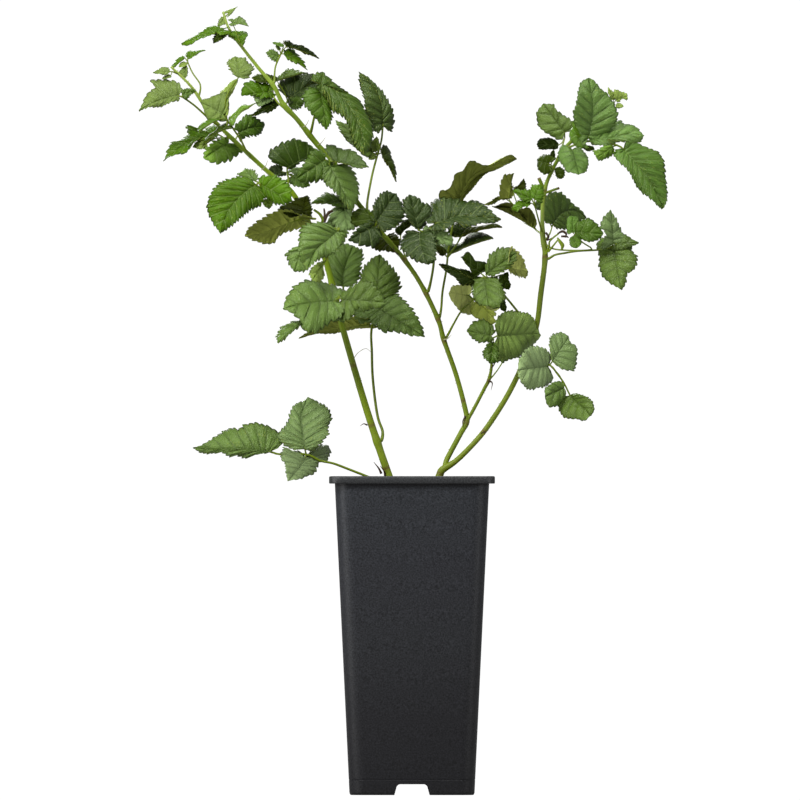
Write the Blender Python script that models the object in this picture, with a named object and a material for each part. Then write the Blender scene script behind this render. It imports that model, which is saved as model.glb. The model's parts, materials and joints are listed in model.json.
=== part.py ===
"""Potted tayberry plant: long canes with compound leaves, rooted in a tall square nursery pot.

Sizes are in millimetres and MM turns them into metres. X and Z are the plant's width and height as it is seen
from the front, Y is its depth, and the front is -Y. Heights are measured from the surface the pot stands on.
"""

import math
from collections import namedtuple

import bmesh
import bpy
from mathutils import Vector

MM = 0.001
GAP = 0.3  # clearance between pieces that touch on the real plant
CUT_PAST = 1  # how far a cutter runs past what it cuts
MERGE = 0.01  # corners closer than this are one

# Where the pot's middle stands, so that the origin is the middle of the whole plant's footprint.
POT_X = 7.1
POT_Y = 8.4

# The pot: a tapered square container with a folded rim and a raised floor.
POT_HEIGHT = 250
FOOT_HALF = 49
TAPER = (60.5 - FOOT_HALF) / 244
BODY_CORNER = 13
WALL = 1.5
FLOOR_UNDERSIDE = 11.5
RIM_HALF = 65
RIM_HEIGHT = 6
RIM_WALL = 1.4
RIM_CORNER = 9
CORNER_SEGMENTS = 4
NOTCH_HEIGHT = 8.5
NOTCH_HALF_TOP = 10.2
NOTCH_HALF_FOOT = 12.8
NOTCH_REACH = 60
DRAIN_RADIUS = 5
DRAIN_CUT = 6
DRAIN_SPREAD = 27

# The compost stands a little below the rim.
SOIL_TOP = 232

# A blade's outline as (share of its length, share of its half width).
BLADE_STATIONS = ((0.12, 0.62), (0.32, 1.0), (0.55, 0.94), (0.78, 0.58), (1.0, 0.05))
BLADE_RATIO = 0.74  # width of a blade seen square on, as a share of its length
BLADE_THICK = 0.75  # half thickness at the midrib
SLIM_THICK = 0.12  # the same at the most, as a share of the half width
TIP_THINNER = 0.5  # how much of that thickness is gone at the tip
EDGE_THICK = 0.35  # half thickness at the margin
BLADE_FOLD = 0.16  # rise of the margin over the midrib, as a share of the half width
BLADE_ARCH = 0.05  # rise of the midrib, as a share of the length
LEAST_LEAN = 0.2  # how far a blade leans in depth at the least, as a share of its length
STEEPEST_ROLL = math.radians(66)
STALK_CORNERS = [math.radians(angle) for angle in (150, 90, 30, -30, -90, -150)]
BRANCH_RADIUS = 0.8  # of a side leaflet's stalk, as a share of the leaf's

POT_GREY = ((0.035, 0.036, 0.038), 0.62)
SOIL_BROWN = ((0.045, 0.03, 0.02), 0.95)
CANE_GREEN = ((0.24, 0.33, 0.05), 0.5)
LEAF_GREEN = ((0.1, 0.24, 0.05), 0.55)

# A cane or shoot: where it starts (a parent and a height on it, or None for the soil), and its course as
# (x, depth, height, radius).
Cane = namedtuple("Cane", "parent height course")
CANES = {
    "cane_left": Cane(None, None, (
        (-4, -7, 204, 3.2), (-12, -6, 232, 3.1), (-25, -7, 270, 2.9), (-38, -8, 310, 2.7),
        (-56, -10, 372, 2.4), (-68, -12, 420, 2.3), (-82, -14, 450, 2.2), (-93, -16, 471, 2.0),
        (-110, -18, 486, 1.8), (-134, -22, 508, 1.5), (-156, -26, 530, 1.3), (-172, -30, 554, 1.1),
        (-189, -33, 571, 0.8),
    )),
    "cane_right": Cane(None, None, (
        (4, 7, 204, 3.4), (14, 5, 232, 3.3), (21.5, 3, 250, 3.0), (24, 2, 255, 2.6), (34, 1, 261.5, 2.2),
        (46, 0, 273, 2.15), (58, 0, 287, 2.15), (72.5, -1, 309, 2.1), (83, -2, 329, 2.1),
        (91.5, -3, 349, 2.1), (98, -4, 369, 2.1), (101, -5, 392, 2.2), (104.5, -6, 422, 2.1),
        (102.5, -6, 440, 1.7), (102.5, -5, 460, 1.6), (104, -5, 474, 1.6), (109, -5, 488, 1.4),
        (120, -5, 507, 1.3), (133, -4, 520, 1.2), (147, -3, 533, 1.0), (157, -2, 543, 0.8),
    )),
    "cane_middle": Cane("cane_right", 256, (
        (27, 4, 262, 2.1), (31, 5, 270, 2.1), (38.5, 6, 284, 2.1), (43, 7, 293, 2.1), (41.5, 7, 304, 2.0),
        (34.5, 8, 330, 1.9), (25, 9, 357, 1.9), (20.5, 9, 373, 1.9), (8, 10, 399, 1.8), (-6, 12, 420, 1.8),
        (-28, 14, 446, 1.8), (-50, 16, 475, 1.9), (-62, 18, 497, 2.1), (-74, 20, 510, 2.2),
        (-90, 22, 530, 1.9), (-101, 24, 542, 1.8), (-109, 26, 557, 1.6), (-120, 28, 570, 1.4),
        (-135, 29, 589, 1.2), (-144, 30, 602, 1.0), (-148.5, 31, 615, 0.8),
    )),
    "shoot_low": Cane("cane_middle", 292, (
        (49, 5, 303.5, 1.4), (57, 2, 319, 1.4), (60.5, 0, 326, 1.3), (62.5, -3, 338, 1.1), (61, -6, 352, 1.0),
    )),
    "stub_upper": Cane("cane_right", 474, ((99.5, -6, 484, 1.4),)),
    "stub_side": Cane("cane_right", 472, ((115.5, -8, 476, 1.0),)),
}

# A leaflet, as seen from the front: where its blade starts and ends as (x, height), the width it shows, whether
# it shows its upper or under side, and the points its own stalk passes on the way from the leaf's fork.
UPPER, UNDER = 1, -1
Leaflet = namedtuple("Leaflet", "base tip width side via", defaults=(UPPER, ()))

# A leaf: its cane and the height it grows at, the depth of its fork, the radius of its stalk, the stalk's points
# as (x, height) with the fork last, and its leaflets. The first leaflet carries the stalk on.
Leaf = namedtuple("Leaf", "cane height depth radius stalk leaflets")
LEAVES = {
    "leaf_low_left": Leaf(
        "cane_left", 239, -14, 1.1,
        ((-24, 245), (-36, 250), (-50, 255.5), (-62, 260), (-72, 262), (-83, 267)),
        (
            Leaflet((-111, 269), (-172, 272), 27, UPPER, ((-103, 267),)),
            Leaflet((-84, 271), (-82, 312), 38),
            Leaflet((-84, 264), (-97, 246), 34),
        ),
    ),
    "leaf_inner": Leaf(
        "cane_left", 277, 16, 1.2,
        ((-23, 285), (-26.5, 295), (-29, 310), (-31, 330), (-31.5, 348), (-32, 362), (-30, 376)),
        (
            Leaflet((-28, 384), (-25, 424), 30),
            Leaflet((-29, 383), (10, 359), 32),
            Leaflet((-34, 369), (-89, 358), 12, UNDER),
        ),
    ),
    "leaf_front": Leaf(
        "cane_left", 400, -54, 1.1, ((-61, 396), (-57, 390)),
        (
            Leaflet((-60, 387), (-101, 381), 28),
            Leaflet((-55, 388), (-21, 386), 24),
            Leaflet((-58, 385), (-82, 363), 20),
            Leaflet((-86, 370), (-105, 354), 12, UPPER, ((-72, 377),)),
        ),
    ),
    "leaf_behind": Leaf(
        "cane_left", 395, 34, 1.0, ((-54, 395),),
        (Leaflet((-54, 399), (-46, 431), 24),),
    ),
    "leaf_mid_front": Leaf(
        "cane_left", 440, -56, 1.0, ((-66, 443), (-57, 444)),
        (
            Leaflet((-58, 442), (-82, 411), 34),
            Leaflet((-85, 431), (-92, 410), 16, UPPER, ((-70, 436),)),
            Leaflet((-68, 418), (-78, 403), 12, UPPER, ((-62, 430), (-66, 422))),
        ),
    ),
    "leaf_olive_left": Leaf(
        "cane_left", 451, -38, 1.0, ((-84, 453),),
        (
            Leaflet((-88, 451), (-131, 438), 25, UNDER),
            Leaflet((-86, 455), (-83, 470), 20),
        ),
    ),
    "leaf_bright_left": Leaf(
        "cane_left", 483, -60, 1.0, ((-112, 482), (-120, 480)),
        (
            Leaflet((-122, 478), (-150, 440), 42),
            Leaflet((-118, 478), (-94, 465), 21),
            Leaflet((-113, 467), (-112, 459), 8, UPPER, ((-117, 473),)),
            Leaflet((-123, 481), (-131, 491), 15),
        ),
    ),
    "leaf_left_dark": Leaf(
        "cane_left", 476, 8, 0.9, ((-97, 483), (-98, 488)),
        (
            Leaflet((-98, 492), (-74, 506), 25),
            Leaflet((-102, 489), (-113, 490), 9),
            Leaflet((-95, 489), (-87, 492), 7),
            Leaflet((-94, 485), (-80, 478), 9),
        ),
    ),
    "leaf_mid_top": Leaf(
        "cane_middle", 496, -18, 1.0, ((-65, 497),),
        (
            Leaflet((-68, 498), (-91, 483), 22),
            Leaflet((-65, 494), (-47, 457), 24),
            Leaflet((-62, 497), (-33.5, 492), 13),
        ),
    ),
    "leaf_mid_small": Leaf(
        "cane_middle", 470, 4, 0.7, ((-53, 465),),
        (
            Leaflet((-56, 465), (-79, 464), 9),
            Leaflet((-54, 462), (-50, 443), 18),
            Leaflet((-68, 448), (-58, 442), 8, UPPER, ((-62, 458), (-68, 453))),
        ),
    ),
    "leaf_hanging": Leaf(
        "cane_middle", 519, 0, 1.0, ((-77, 531), (-74, 545), (-73, 554)),
        (
            Leaflet((-72, 553), (-67, 522), 22),
            Leaflet((-73, 558), (-37, 502), 28),
        ),
    ),
    "leaf_dark_top": Leaf(
        "cane_middle", 541, 62, 0.8, ((-98, 546),),
        (
            Leaflet((-97, 547), (-50, 551), 26),
            Leaflet((-106, 561), (-84, 567), 9, UPPER, ((-101, 553), (-105, 559))),
            Leaflet((-97, 543), (-85, 543), 13),
        ),
    ),
    "leaf_node_left": Leaf(
        "cane_middle", 538, 38, 0.8, ((-105, 543), (-110, 550)),
        (
            Leaflet((-112, 552), (-134, 549), 15),
            Leaflet((-112, 549), (-122, 542), 9),
            Leaflet((-108, 559), (-126, 563), 9),
            Leaflet((-105, 542), (-126, 533), 9),
        ),
    ),
    "leaf_top_small": Leaf(
        "cane_middle", 558, 44, 0.8, ((-108, 566), (-107, 573), (-103, 582)),
        (
            Leaflet((-105, 580), (-115, 583), 9),
            Leaflet((-101, 582), (-82, 569), 10),
            Leaflet((-99, 588), (-73, 578), 6, UPPER, ((-101, 585),)),
            Leaflet((-101, 588), (-110, 591), 3),
            Leaflet((-104, 585), (-107, 589), 2.5),
        ),
    ),
    "leaf_tip_long": Leaf(
        "cane_middle", 598, 22, 0.6, ((-146, 600),),
        (
            Leaflet((-149, 600), (-181, 589), 8),
            Leaflet((-148, 598), (-156, 590), 8),
        ),
    ),
    "leaf_tip_right": Leaf(
        "cane_middle", 593, 10, 0.6, ((-136, 593),),
        (
            Leaflet((-135, 590), (-137, 600), 15),
            Leaflet((-141, 606), (-128, 603), 7, UPPER, ((-139, 601),)),
        ),
    ),
    "leaf_tip_bud": Leaf(
        "cane_middle", 611, 38, 0.5, ((-145, 613),),
        (
            Leaflet((-144, 614), (-137, 619), 5),
            Leaflet((-147, 610), (-153, 603), 6),
        ),
    ),
    "leaf_end_arc": Leaf(
        "cane_left", 548, -18, 0.7, ((-166, 557), (-172, 566), (-176, 575)),
        (
            Leaflet((-176, 578), (-162, 584), 5),
            Leaflet((-178, 578), (-188, 569), 5),
            Leaflet((-177, 574), (-183, 571), 4),
            Leaflet((-177, 572), (-178, 562), 7),
        ),
    ),
    "leaf_end_left": Leaf(
        "cane_left", 566, -40, 0.6, ((-188, 567),),
        (
            Leaflet((-190, 567), (-203, 566), 7),
            Leaflet((-189, 564), (-196, 561), 3),
        ),
    ),
    "leaf_far_left": Leaf(
        "cane_left", 526, -50, 0.9, ((-159, 530), (-170, 540), (-180, 547)),
        (
            Leaflet((-183, 548), (-214, 536), 21),
            Leaflet((-180, 549), (-169, 552), 8),
        ),
    ),
    "leaf_bright_center": Leaf(
        "cane_left", 502, -52, 0.9, ((-130, 505), (-134, 513), (-140, 522), (-145, 529)),
        (
            Leaflet((-146, 532), (-137, 561), 11),
            Leaflet((-148, 533), (-166, 543), 17),
            Leaflet((-143, 529), (-121, 543), 8),
            Leaflet((-136, 562), (-138, 579), 20, UPPER, ((-146, 545), (-139, 558))),
            Leaflet((-151, 530), (-167, 519), 5),
            Leaflet((-145, 524), (-164, 508), 6),
        ),
    ),
    "leaf_lobed_left": Leaf(
        "cane_left", 517, -20, 0.8, ((-147, 515),),
        (
            Leaflet((-152, 518), (-195, 497), 16),
            Leaflet((-144, 511), (-163, 499), 19),
            Leaflet((-161, 511), (-172, 508), 7, UPPER, ((-154, 515),)),
        ),
    ),
    "leaf_dark_left": Leaf(
        "cane_left", 513, 26, 0.8, ((-137, 518),),
        (Leaflet((-136, 520), (-116, 525), 20),),
    ),
    "leaf_tall": Leaf(
        "cane_middle", 458, 42, 1.0, ((-35, 466), (-33, 478), (-30.5, 490), (-27, 503)),
        (
            Leaflet((-23, 525), (-42, 568), 26, UPPER, ((-24, 514),)),
            Leaflet((-31, 504), (-60, 530), 12),
            Leaflet((-24, 504), (-12.5, 481), 9),
            Leaflet((-28.5, 505), (-28, 517), 6),
            Leaflet((-29, 503), (-34, 499), 5),
        ),
    ),
    "leaf_round": Leaf(
        "cane_middle", 445, -20, 0.9, ((-28, 447),),
        (
            Leaflet((-28, 449), (-13, 472), 27),
            Leaflet((-30, 446), (-50, 435), 17),
            Leaflet((-30, 449), (-37, 460), 12),
        ),
    ),
    "leaf_round_behind": Leaf(
        "cane_middle", 436, 46, 0.8, ((-19, 438),),
        (Leaflet((-20, 438), (-11, 426), 20),),
    ),
    "leaf_blue": Leaf(
        "cane_middle", 394, -8, 1.1, ((15, 404), (17, 417), (17, 430), (11, 440)),
        (
            Leaflet((5, 443), (-2, 471), 20),
            Leaflet((6, 441), (12, 416), 27),
            Leaflet((18, 448), (70, 452), 22),
            Leaflet((14, 440), (32, 434), 14),
        ),
    ),
    "leaf_node_small": Leaf(
        "cane_middle", 419, 20, 0.6, ((-7, 427), (-8.5, 434)),
        (Leaflet((-9, 439), (-2, 452), 8),),
    ),
    "leaf_olive_top": Leaf(
        "cane_middle", 374, 44, 1.0, ((23, 382), (24, 395), (27, 412), (28, 422)),
        (
            Leaflet((36, 463), (82, 500), 24, UNDER, ((30, 436), (33, 452))),
            Leaflet((31, 425), (64, 437), 9),
            Leaflet((40, 440), (71, 446), 6, UPPER, ((35, 432),)),
            Leaflet((38, 438), (37, 449), 18, UPPER, ((34, 430),)),
            Leaflet((26, 424), (17, 432), 6),
        ),
    ),
    "leaf_fold_left": Leaf(
        "cane_right", 440, 36, 0.8, ((98, 443),),
        (
            Leaflet((96, 445), (63, 462), 12, UNDER),
            Leaflet((76, 468), (80, 488), 11, UNDER, ((88, 456), (80, 463))),
            Leaflet((72, 469), (57, 463), 4, UNDER, ((88, 455), (79, 464))),
            Leaflet((80, 473), (88, 484), 9, UPPER, ((89, 457), (82, 466))),
        ),
    ),
    "leaf_small_bright": Leaf(
        "cane_right", 442, -34, 0.7, ((99, 452), (96, 463)),
        (
            Leaflet((94, 467), (79, 473), 10),
            Leaflet((93, 464), (78, 459), 9),
            Leaflet((96, 467), (100, 479), 13),
        ),
    ),
    "leaf_dark_right": Leaf(
        "cane_right", 434, 44, 0.8, ((108, 440), (110, 446)),
        (
            Leaflet((111, 448), (137, 453), 28),
            Leaflet((104, 462), (95, 464), 7, UPPER, ((106, 454),)),
        ),
    ),
    "leaf_long_stalk": Leaf(
        "cane_right", 421, -12, 0.9,
        ((112, 423.5), (120, 425), (130, 426.5), (147, 427.5), (156, 429)),
        (
            Leaflet((160, 432), (178, 433), 11),
            Leaflet((158, 432), (156, 459), 18),
            Leaflet((158, 428), (164, 396), 30),
        ),
    ),
    "leaf_side": Leaf(
        "cane_right", 431, -30, 0.7, ((112, 428), (128, 427), (141, 428), (134, 433), (128, 439)),
        (
            Leaflet((128, 441), (150, 440), 17),
            Leaflet((126, 441), (126, 454), 10),
            Leaflet((126, 438), (130, 429), 9),
        ),
    ),
    "leaf_top_right": Leaf(
        "cane_right", 506, -46, 1.0, ((126, 509), (135, 512)),
        (
            Leaflet((138, 515), (138, 562), 34),
            Leaflet((140, 513), (182, 517), 20),
            Leaflet((134, 512), (124, 521), 14),
            Leaflet((135, 514), (127, 530), 9),
            Leaflet((135, 508), (143, 506), 8),
        ),
    ),
    "leaf_right_end": Leaf(
        "cane_right", 513, 26, 1.0, ((140, 513), (150, 512), (161, 510)),
        (
            Leaflet((166, 507), (197, 460), 27),
            Leaflet((158, 509), (145, 500), 12),
        ),
    ),
    "leaf_upper_left": Leaf(
        "cane_right", 500, 34, 0.8, ((118, 509), (120, 516)),
        (
            Leaflet((120, 520), (103, 543), 23),
            Leaflet((115, 510), (98, 511), 9, UPPER, ((118, 512),)),
        ),
    ),
    "leaf_center_right": Leaf(
        "cane_right", 501, -22, 0.8, ((124, 505),),
        (Leaflet((126, 506), (131, 486), 24),),
    ),
    "leaf_small_right": Leaf(
        "cane_right", 490, -22, 0.7, ((109, 494),),
        (
            Leaflet((107, 495), (98, 498), 14),
            Leaflet((110, 498), (111, 506), 4),
            Leaflet((112, 491), (117, 483), 7),
        ),
    ),
    "leaf_tip_spike": Leaf(
        "cane_right", 540, -14, 0.5, ((158, 542),),
        (
            Leaflet((160, 545), (169, 548), 9),
            Leaflet((158, 545), (154, 555), 4),
            Leaflet((160, 541), (166, 540), 4),
        ),
    ),
    "leaf_fan": Leaf(
        "cane_right", 361, -24, 1.0, ((90, 371), (83, 379), (73, 391), (60, 404)),
        (
            Leaflet((50, 403), (21, 416), 12, UPPER, ((56, 406),)),
            Leaflet((58, 408), (82, 425), 20),
            Leaflet((57, 405), (60, 383), 26),
            Leaflet((54, 409), (38, 422), 12),
            Leaflet((76, 413), (91, 411), 20, UNDER, ((66, 409),)),
            Leaflet((71, 408), (76, 396), 7, UPPER, ((65, 406),)),
        ),
    ),
    "leaf_under_left": Leaf(
        "cane_middle", 358, 34, 0.9, ((33, 370), (39, 380), (48, 389)),
        (
            Leaflet((45, 392), (29, 394), 22, UNDER),
            Leaflet((51, 387), (67, 371), 11),
            Leaflet((51, 389), (69, 382), 9, UNDER),
            Leaflet((68, 391), (74, 379), 7, UPPER, ((58, 391),)),
        ),
    ),
    "leaf_big_round": Leaf(
        "shoot_low", 350, -40, 0.8, ((63, 358),),
        (
            Leaflet((67, 360), (101, 361), 38),
            Leaflet((62, 360), (43, 364), 17),
            Leaflet((64, 355), (61, 338), 17),
        ),
    ),
    "leaf_shoot_back": Leaf(
        "shoot_low", 325, 22, 0.6, ((67, 333), (72, 341)),
        (Leaflet((74, 345), (82, 366), 13),),
    ),
    "leaf_low_right": Leaf(
        "cane_right", 341, -44, 0.9, ((98, 339), (108, 337)),
        (
            Leaflet((124, 313), (140, 297), 24, UPPER, ((114, 330), (119, 323))),
            Leaflet((106, 336), (83, 333), 31),
            Leaflet((110, 340), (123, 359), 24),
            Leaflet((119, 319), (104, 312), 17, UPPER, ((116, 328),)),
        ),
    ),
}


def clear_scene():
    """Remove every object, so that the script can be run again."""
    for thing in list(bpy.data.objects):
        bpy.data.objects.remove(thing)


def collection(name):
    """A new collection in the scene."""
    made = bpy.data.collections.new(name)
    bpy.context.scene.collection.children.link(made)
    return made


def material(name, look):
    """A plain material from ((red, green, blue), roughness)."""
    colour, roughness = look
    made = bpy.data.materials.new(name)
    made.use_nodes = True
    shader = made.node_tree.nodes["Principled BSDF"]
    shader.inputs["Base Color"].default_value = (*colour, 1)
    shader.inputs["Roughness"].default_value = roughness
    shader.inputs["Metallic"].default_value = 0
    made.diffuse_color = (*colour, 1)
    return made


def object_from(name, shape, place):
    """An object holding a finished bmesh."""
    bmesh.ops.recalc_face_normals(shape, faces=shape.faces)
    mesh = bpy.data.meshes.new(name)
    shape.to_mesh(mesh)
    shape.free()
    made = bpy.data.objects.new(name, mesh)
    place.objects.link(made)
    return made


def boolean(target, other, operation):
    """Cut or join one object with another."""
    step = target.modifiers.new(other.name, "BOOLEAN")
    step.operation = operation
    step.solver = "EXACT"
    step.object = other


def hide(cutter):
    """Keep a cutter out of the renders and see-through in the viewport."""
    cutter.hide_render = True
    cutter.display_type = "WIRE"
    return cutter


# The pot and the compost


def body_half(height):
    """Half the width of the pot's outside at a height."""
    return FOOT_HALF + TAPER * height


def tapered_block(name, low, high, half_low, half_high, corner, place):
    """A square block between two heights, with its upright edges rounded."""
    shape = bmesh.new()
    bmesh.ops.create_cube(shape, size=2)
    upright = [edge for edge in shape.edges if abs(edge.verts[0].co.z - edge.verts[1].co.z) > 1]
    for vert in shape.verts:
        half, height = (half_high, high) if vert.co.z > 0 else (half_low, low)
        vert.co = Vector((vert.co.x * half, vert.co.y * half, height)) * MM
    bmesh.ops.bevel(
        shape, geom=upright, offset=corner * MM, segments=CORNER_SEGMENTS, profile=0.5, affect="EDGES"
    )
    return object_from(name, shape, place)


def pot_block(name, low, high, inset, place):
    """A block that follows the pot's taper at a distance inside its outer face."""
    half_low, half_high = body_half(low) - inset, body_half(high) - inset
    return tapered_block(name, low, high, half_low, half_high, BODY_CORNER - inset, place)


def notch_cutter(name, place):
    """A bar of trapezoid section that cuts the openings in two opposite sides of the foot."""
    shape = bmesh.new()
    bmesh.ops.create_cube(shape, size=2)
    for vert in shape.verts:
        half, height = (NOTCH_HALF_TOP, NOTCH_HEIGHT) if vert.co.z > 0 else (NOTCH_HALF_FOOT, -CUT_PAST)
        vert.co = Vector((vert.co.x * half, vert.co.y * NOTCH_REACH, height)) * MM
    return object_from(name, shape, place)


def drain_cutter(name, x, y, place):
    """An upright round cutter through the floor."""
    shape = bmesh.new()
    radius = DRAIN_RADIUS * MM
    bmesh.ops.create_cone(
        shape, cap_ends=True, segments=16, radius1=radius, radius2=radius, depth=DRAIN_CUT * MM
    )
    drain = object_from(name, shape, place)
    drain.location = Vector((x, y, FLOOR_UNDERSIDE + WALL / 2)) * MM
    return drain


def pot(parts, cutters):
    """The container: a folded rim and a tapered body, hollowed above and below its floor."""
    made = tapered_block(
        "pot", POT_HEIGHT - RIM_HEIGHT, POT_HEIGHT, RIM_HALF, RIM_HALF, RIM_CORNER, parts
    )
    inner = RIM_HALF - RIM_WALL
    fold = tapered_block(
        "rim_fold_cutter", POT_HEIGHT - RIM_HEIGHT - CUT_PAST, POT_HEIGHT - RIM_WALL, inner, inner,
        RIM_CORNER - RIM_WALL, cutters,
    )
    boolean(made, hide(fold), "DIFFERENCE")
    body = pot_block("body_join", 0, POT_HEIGHT - RIM_WALL / 2, 0, cutters)
    boolean(made, hide(body), "UNION")
    cavity = pot_block("cavity_cutter", FLOOR_UNDERSIDE + WALL, POT_HEIGHT + CUT_PAST, WALL, cutters)
    boolean(made, hide(cavity), "DIFFERENCE")
    recess = pot_block("recess_cutter", -CUT_PAST, FLOOR_UNDERSIDE, WALL, cutters)
    boolean(made, hide(recess), "DIFFERENCE")
    for index, turn in enumerate((0, math.pi / 2)):
        notch = notch_cutter(f"notch_cutter_{index}", cutters)
        notch.rotation_euler.z = turn
        boolean(made, hide(notch), "DIFFERENCE")
    corners = [(x, y) for x in (-DRAIN_SPREAD, DRAIN_SPREAD) for y in (-DRAIN_SPREAD, DRAIN_SPREAD)]
    for index, (x, y) in enumerate([(0, 0), *corners]):
        boolean(made, hide(drain_cutter(f"drain_cutter_{index}", x, y, cutters)), "DIFFERENCE")
    return made


def soil(parts, cutters):
    """The compost, with a socket for each cane that is rooted in it."""
    made = pot_block("soil", FLOOR_UNDERSIDE + WALL + GAP, SOIL_TOP, WALL + GAP, parts)
    for name, cane in CANES.items():
        if cane.parent is None:
            boolean(made, hide(socket_cutter(name, cane, cutters)), "DIFFERENCE")
    return made


def socket_cutter(name, cane, cutters):
    """The buried length of a cane, larger all round by the gap."""
    course = [(Vector(p[:3]), p[3] + GAP) for p in cane.course[:3]]
    lowest, radius = course[0]
    course[0] = (lowest - (course[1][0] - lowest).normalized() * GAP, radius)
    curve = tube(f"{name}_socket_curve", course, cutters)
    bpy.context.view_layer.update()
    mesh = bpy.data.meshes.new_from_object(curve.evaluated_get(bpy.context.evaluated_depsgraph_get()))
    bpy.data.objects.remove(curve)
    shape = bmesh.new()
    shape.from_mesh(mesh)
    bmesh.ops.remove_doubles(shape, verts=shape.verts, dist=MERGE * MM)
    return object_from(f"{name}_socket", shape, cutters)


# The canes


def tube(name, course, place):
    """A round cane through (point, radius) pairs."""
    curve = bpy.data.curves.new(name, "CURVE")
    curve.dimensions = "3D"
    curve.bevel_depth = MM
    curve.bevel_resolution = 2
    curve.use_fill_caps = True
    spline = curve.splines.new("POLY")
    spline.points.add(len(course) - 1)
    for knot, (point, radius) in zip(spline.points, course):
        knot.co = (*(point * MM), 1)
        knot.radius = radius
    spline.use_smooth = True
    made = bpy.data.objects.new(name, curve)
    place.objects.link(made)
    return made


def cane_course(name):
    """The whole course of a cane, from the soil or from its parent's bark, as (point, radius) pairs."""
    cane = CANES[name]
    course = [(Vector(p[:3]), p[3]) for p in cane.course]
    if cane.parent is None:
        return course
    root, shoulder = springing(cane.parent, cane.height, course[0][0], course[0][1])
    return [(root, course[0][1]), (shoulder, course[0][1]), *course]


def springing(parent, height, target, radius):
    """Where a stalk leaves its parent's bark, square to it, and the point where it starts to turn."""
    middle, axis, bark = at_height(parent, height)
    outward = target - middle
    outward = (outward - axis * outward.dot(axis)).normalized()
    root = middle + outward * (bark + GAP)
    return root, root + outward * radius


def at_height(name, height):
    """The middle of a cane, its direction and its radius where it reaches a height."""
    course = cane_course(name)
    for (low, low_radius), (high, high_radius) in zip(course, course[1:]):
        if low.z <= height <= high.z:
            share = (height - low.z) / (high.z - low.z)
            radius = low_radius + (high_radius - low_radius) * share
            return low.lerp(high, share), (high - low).normalized(), radius
    raise ValueError(f"{name} does not reach {height} mm")


# The leaves


class Blade:
    """A leaflet's blade in space, worked out from how it looks from the front."""

    def __init__(self, leaflet, depth):
        flat = Vector((leaflet.tip[0] - leaflet.base[0], 0, leaflet.tip[1] - leaflet.base[1]))
        shown = flat.length
        turned = math.sqrt(max(0, (leaflet.width / BLADE_RATIO) ** 2 - shown**2))
        lean = max(turned, LEAST_LEAN * shown)
        away = leaflet.side if flat.z > 0 else -leaflet.side
        self.base = Vector((leaflet.base[0], depth, leaflet.base[1]))
        span = flat + Vector((0, away * lean, 0))
        self.length = span.length
        self.along = span.normalized()
        roll = math.acos(min(1, leaflet.width / (BLADE_RATIO * self.length)))
        self.half_width = leaflet.width / 2 / math.cos(min(roll, STEEPEST_ROLL))
        self.normal = self.facing(flat, leaflet.side, min(roll, STEEPEST_ROLL))
        self.across = self.along.cross(self.normal)

    def facing(self, flat, side, roll):
        """The way the upper side faces: to the viewer or away, and skywards rather than down."""
        across = Vector((flat.z, 0, -flat.x)).normalized()
        square = self.along.cross(across).normalized()
        if square.y * side > 0:
            square = -square
        sideways = self.along.cross(square)
        turns = [square * math.cos(roll) + sideways * math.sin(roll) * way for way in (1, -1)]
        return max(turns, key=lambda normal: normal.z)

    def ring(self, share, width_share):
        """The section of the blade at a share of its length."""
        rise = BLADE_ARCH * self.length * 4 * share * (1 - share)
        middle = self.base + self.along * self.length * share + self.normal * rise
        half = self.half_width * width_share
        thick = min(BLADE_THICK, SLIM_THICK * self.half_width) * (1 - TIP_THINNER * share)
        edge = thick * EDGE_THICK / BLADE_THICK
        lift = half * BLADE_FOLD
        section = ((-half, lift + edge), (0, thick), (half, lift + edge))
        section += ((half, lift - edge), (0, -thick), (-half, lift - edge))
        return [middle + self.across * x + self.normal * y for x, y in section]


def stalk_rings(route, radius, blade):
    """Six-sided sections along a stalk that ends at a blade, turned the way the blade is."""
    points = [*route, blade.base]
    across, up, heading = blade.across, blade.normal, blade.along
    rings = []
    for index in range(len(points) - 1, -1, -1):
        ahead = points[index + 1] - points[index] if index < len(points) - 1 else blade.along
        behind = points[index] - points[index - 1] if index else ahead
        tangent = (ahead.normalized() + behind.normalized()).normalized()
        turn = heading.rotation_difference(tangent)
        across, up, heading = turn @ across, turn @ up, tangent
        ring = [points[index] + (across * math.cos(a) + up * math.sin(a)) * radius for a in STALK_CORNERS]
        rings.insert(0, ring)
    return rings


def loft(name, rings, place):
    """A closed solid through equal rings of points."""
    shape = bmesh.new()
    rows = [[shape.verts.new(point * MM) for point in ring] for ring in rings]
    for row, following in zip(rows, rows[1:]):
        for index in range(len(row)):
            after = (index + 1) % len(row)
            shape.faces.new((row[index], row[after], following[after], following[index]))
    shape.faces.new(rows[0])
    shape.faces.new(rows[-1])
    bmesh.ops.triangulate(shape, faces=shape.faces)
    return object_from(name, shape, place)


def leaflet_solid(name, route, radius, leaflet, depth, place):
    """A leaflet with its stalk as one solid."""
    blade = Blade(leaflet, depth)
    rings = stalk_rings(route, radius, blade)
    rings += [blade.ring(*station) for station in BLADE_STATIONS]
    return loft(name, rings, place)


def leaf_route(leaf):
    """The leaf's stalk from the bark to its fork."""
    heights = [Vector((x, 0, z)) for x, z in leaf.stalk]
    start, _, _ = at_height(leaf.cane, leaf.height)
    target = heights[0].copy()
    target.y = start.y + (leaf.depth - start.y) / len(heights)
    root, shoulder = springing(leaf.cane, leaf.height, target, leaf.radius)
    for index, point in enumerate(heights):
        point.y = shoulder.y + (leaf.depth - shoulder.y) * (index + 1) / len(heights)
    return [root, shoulder, *heights]


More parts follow.
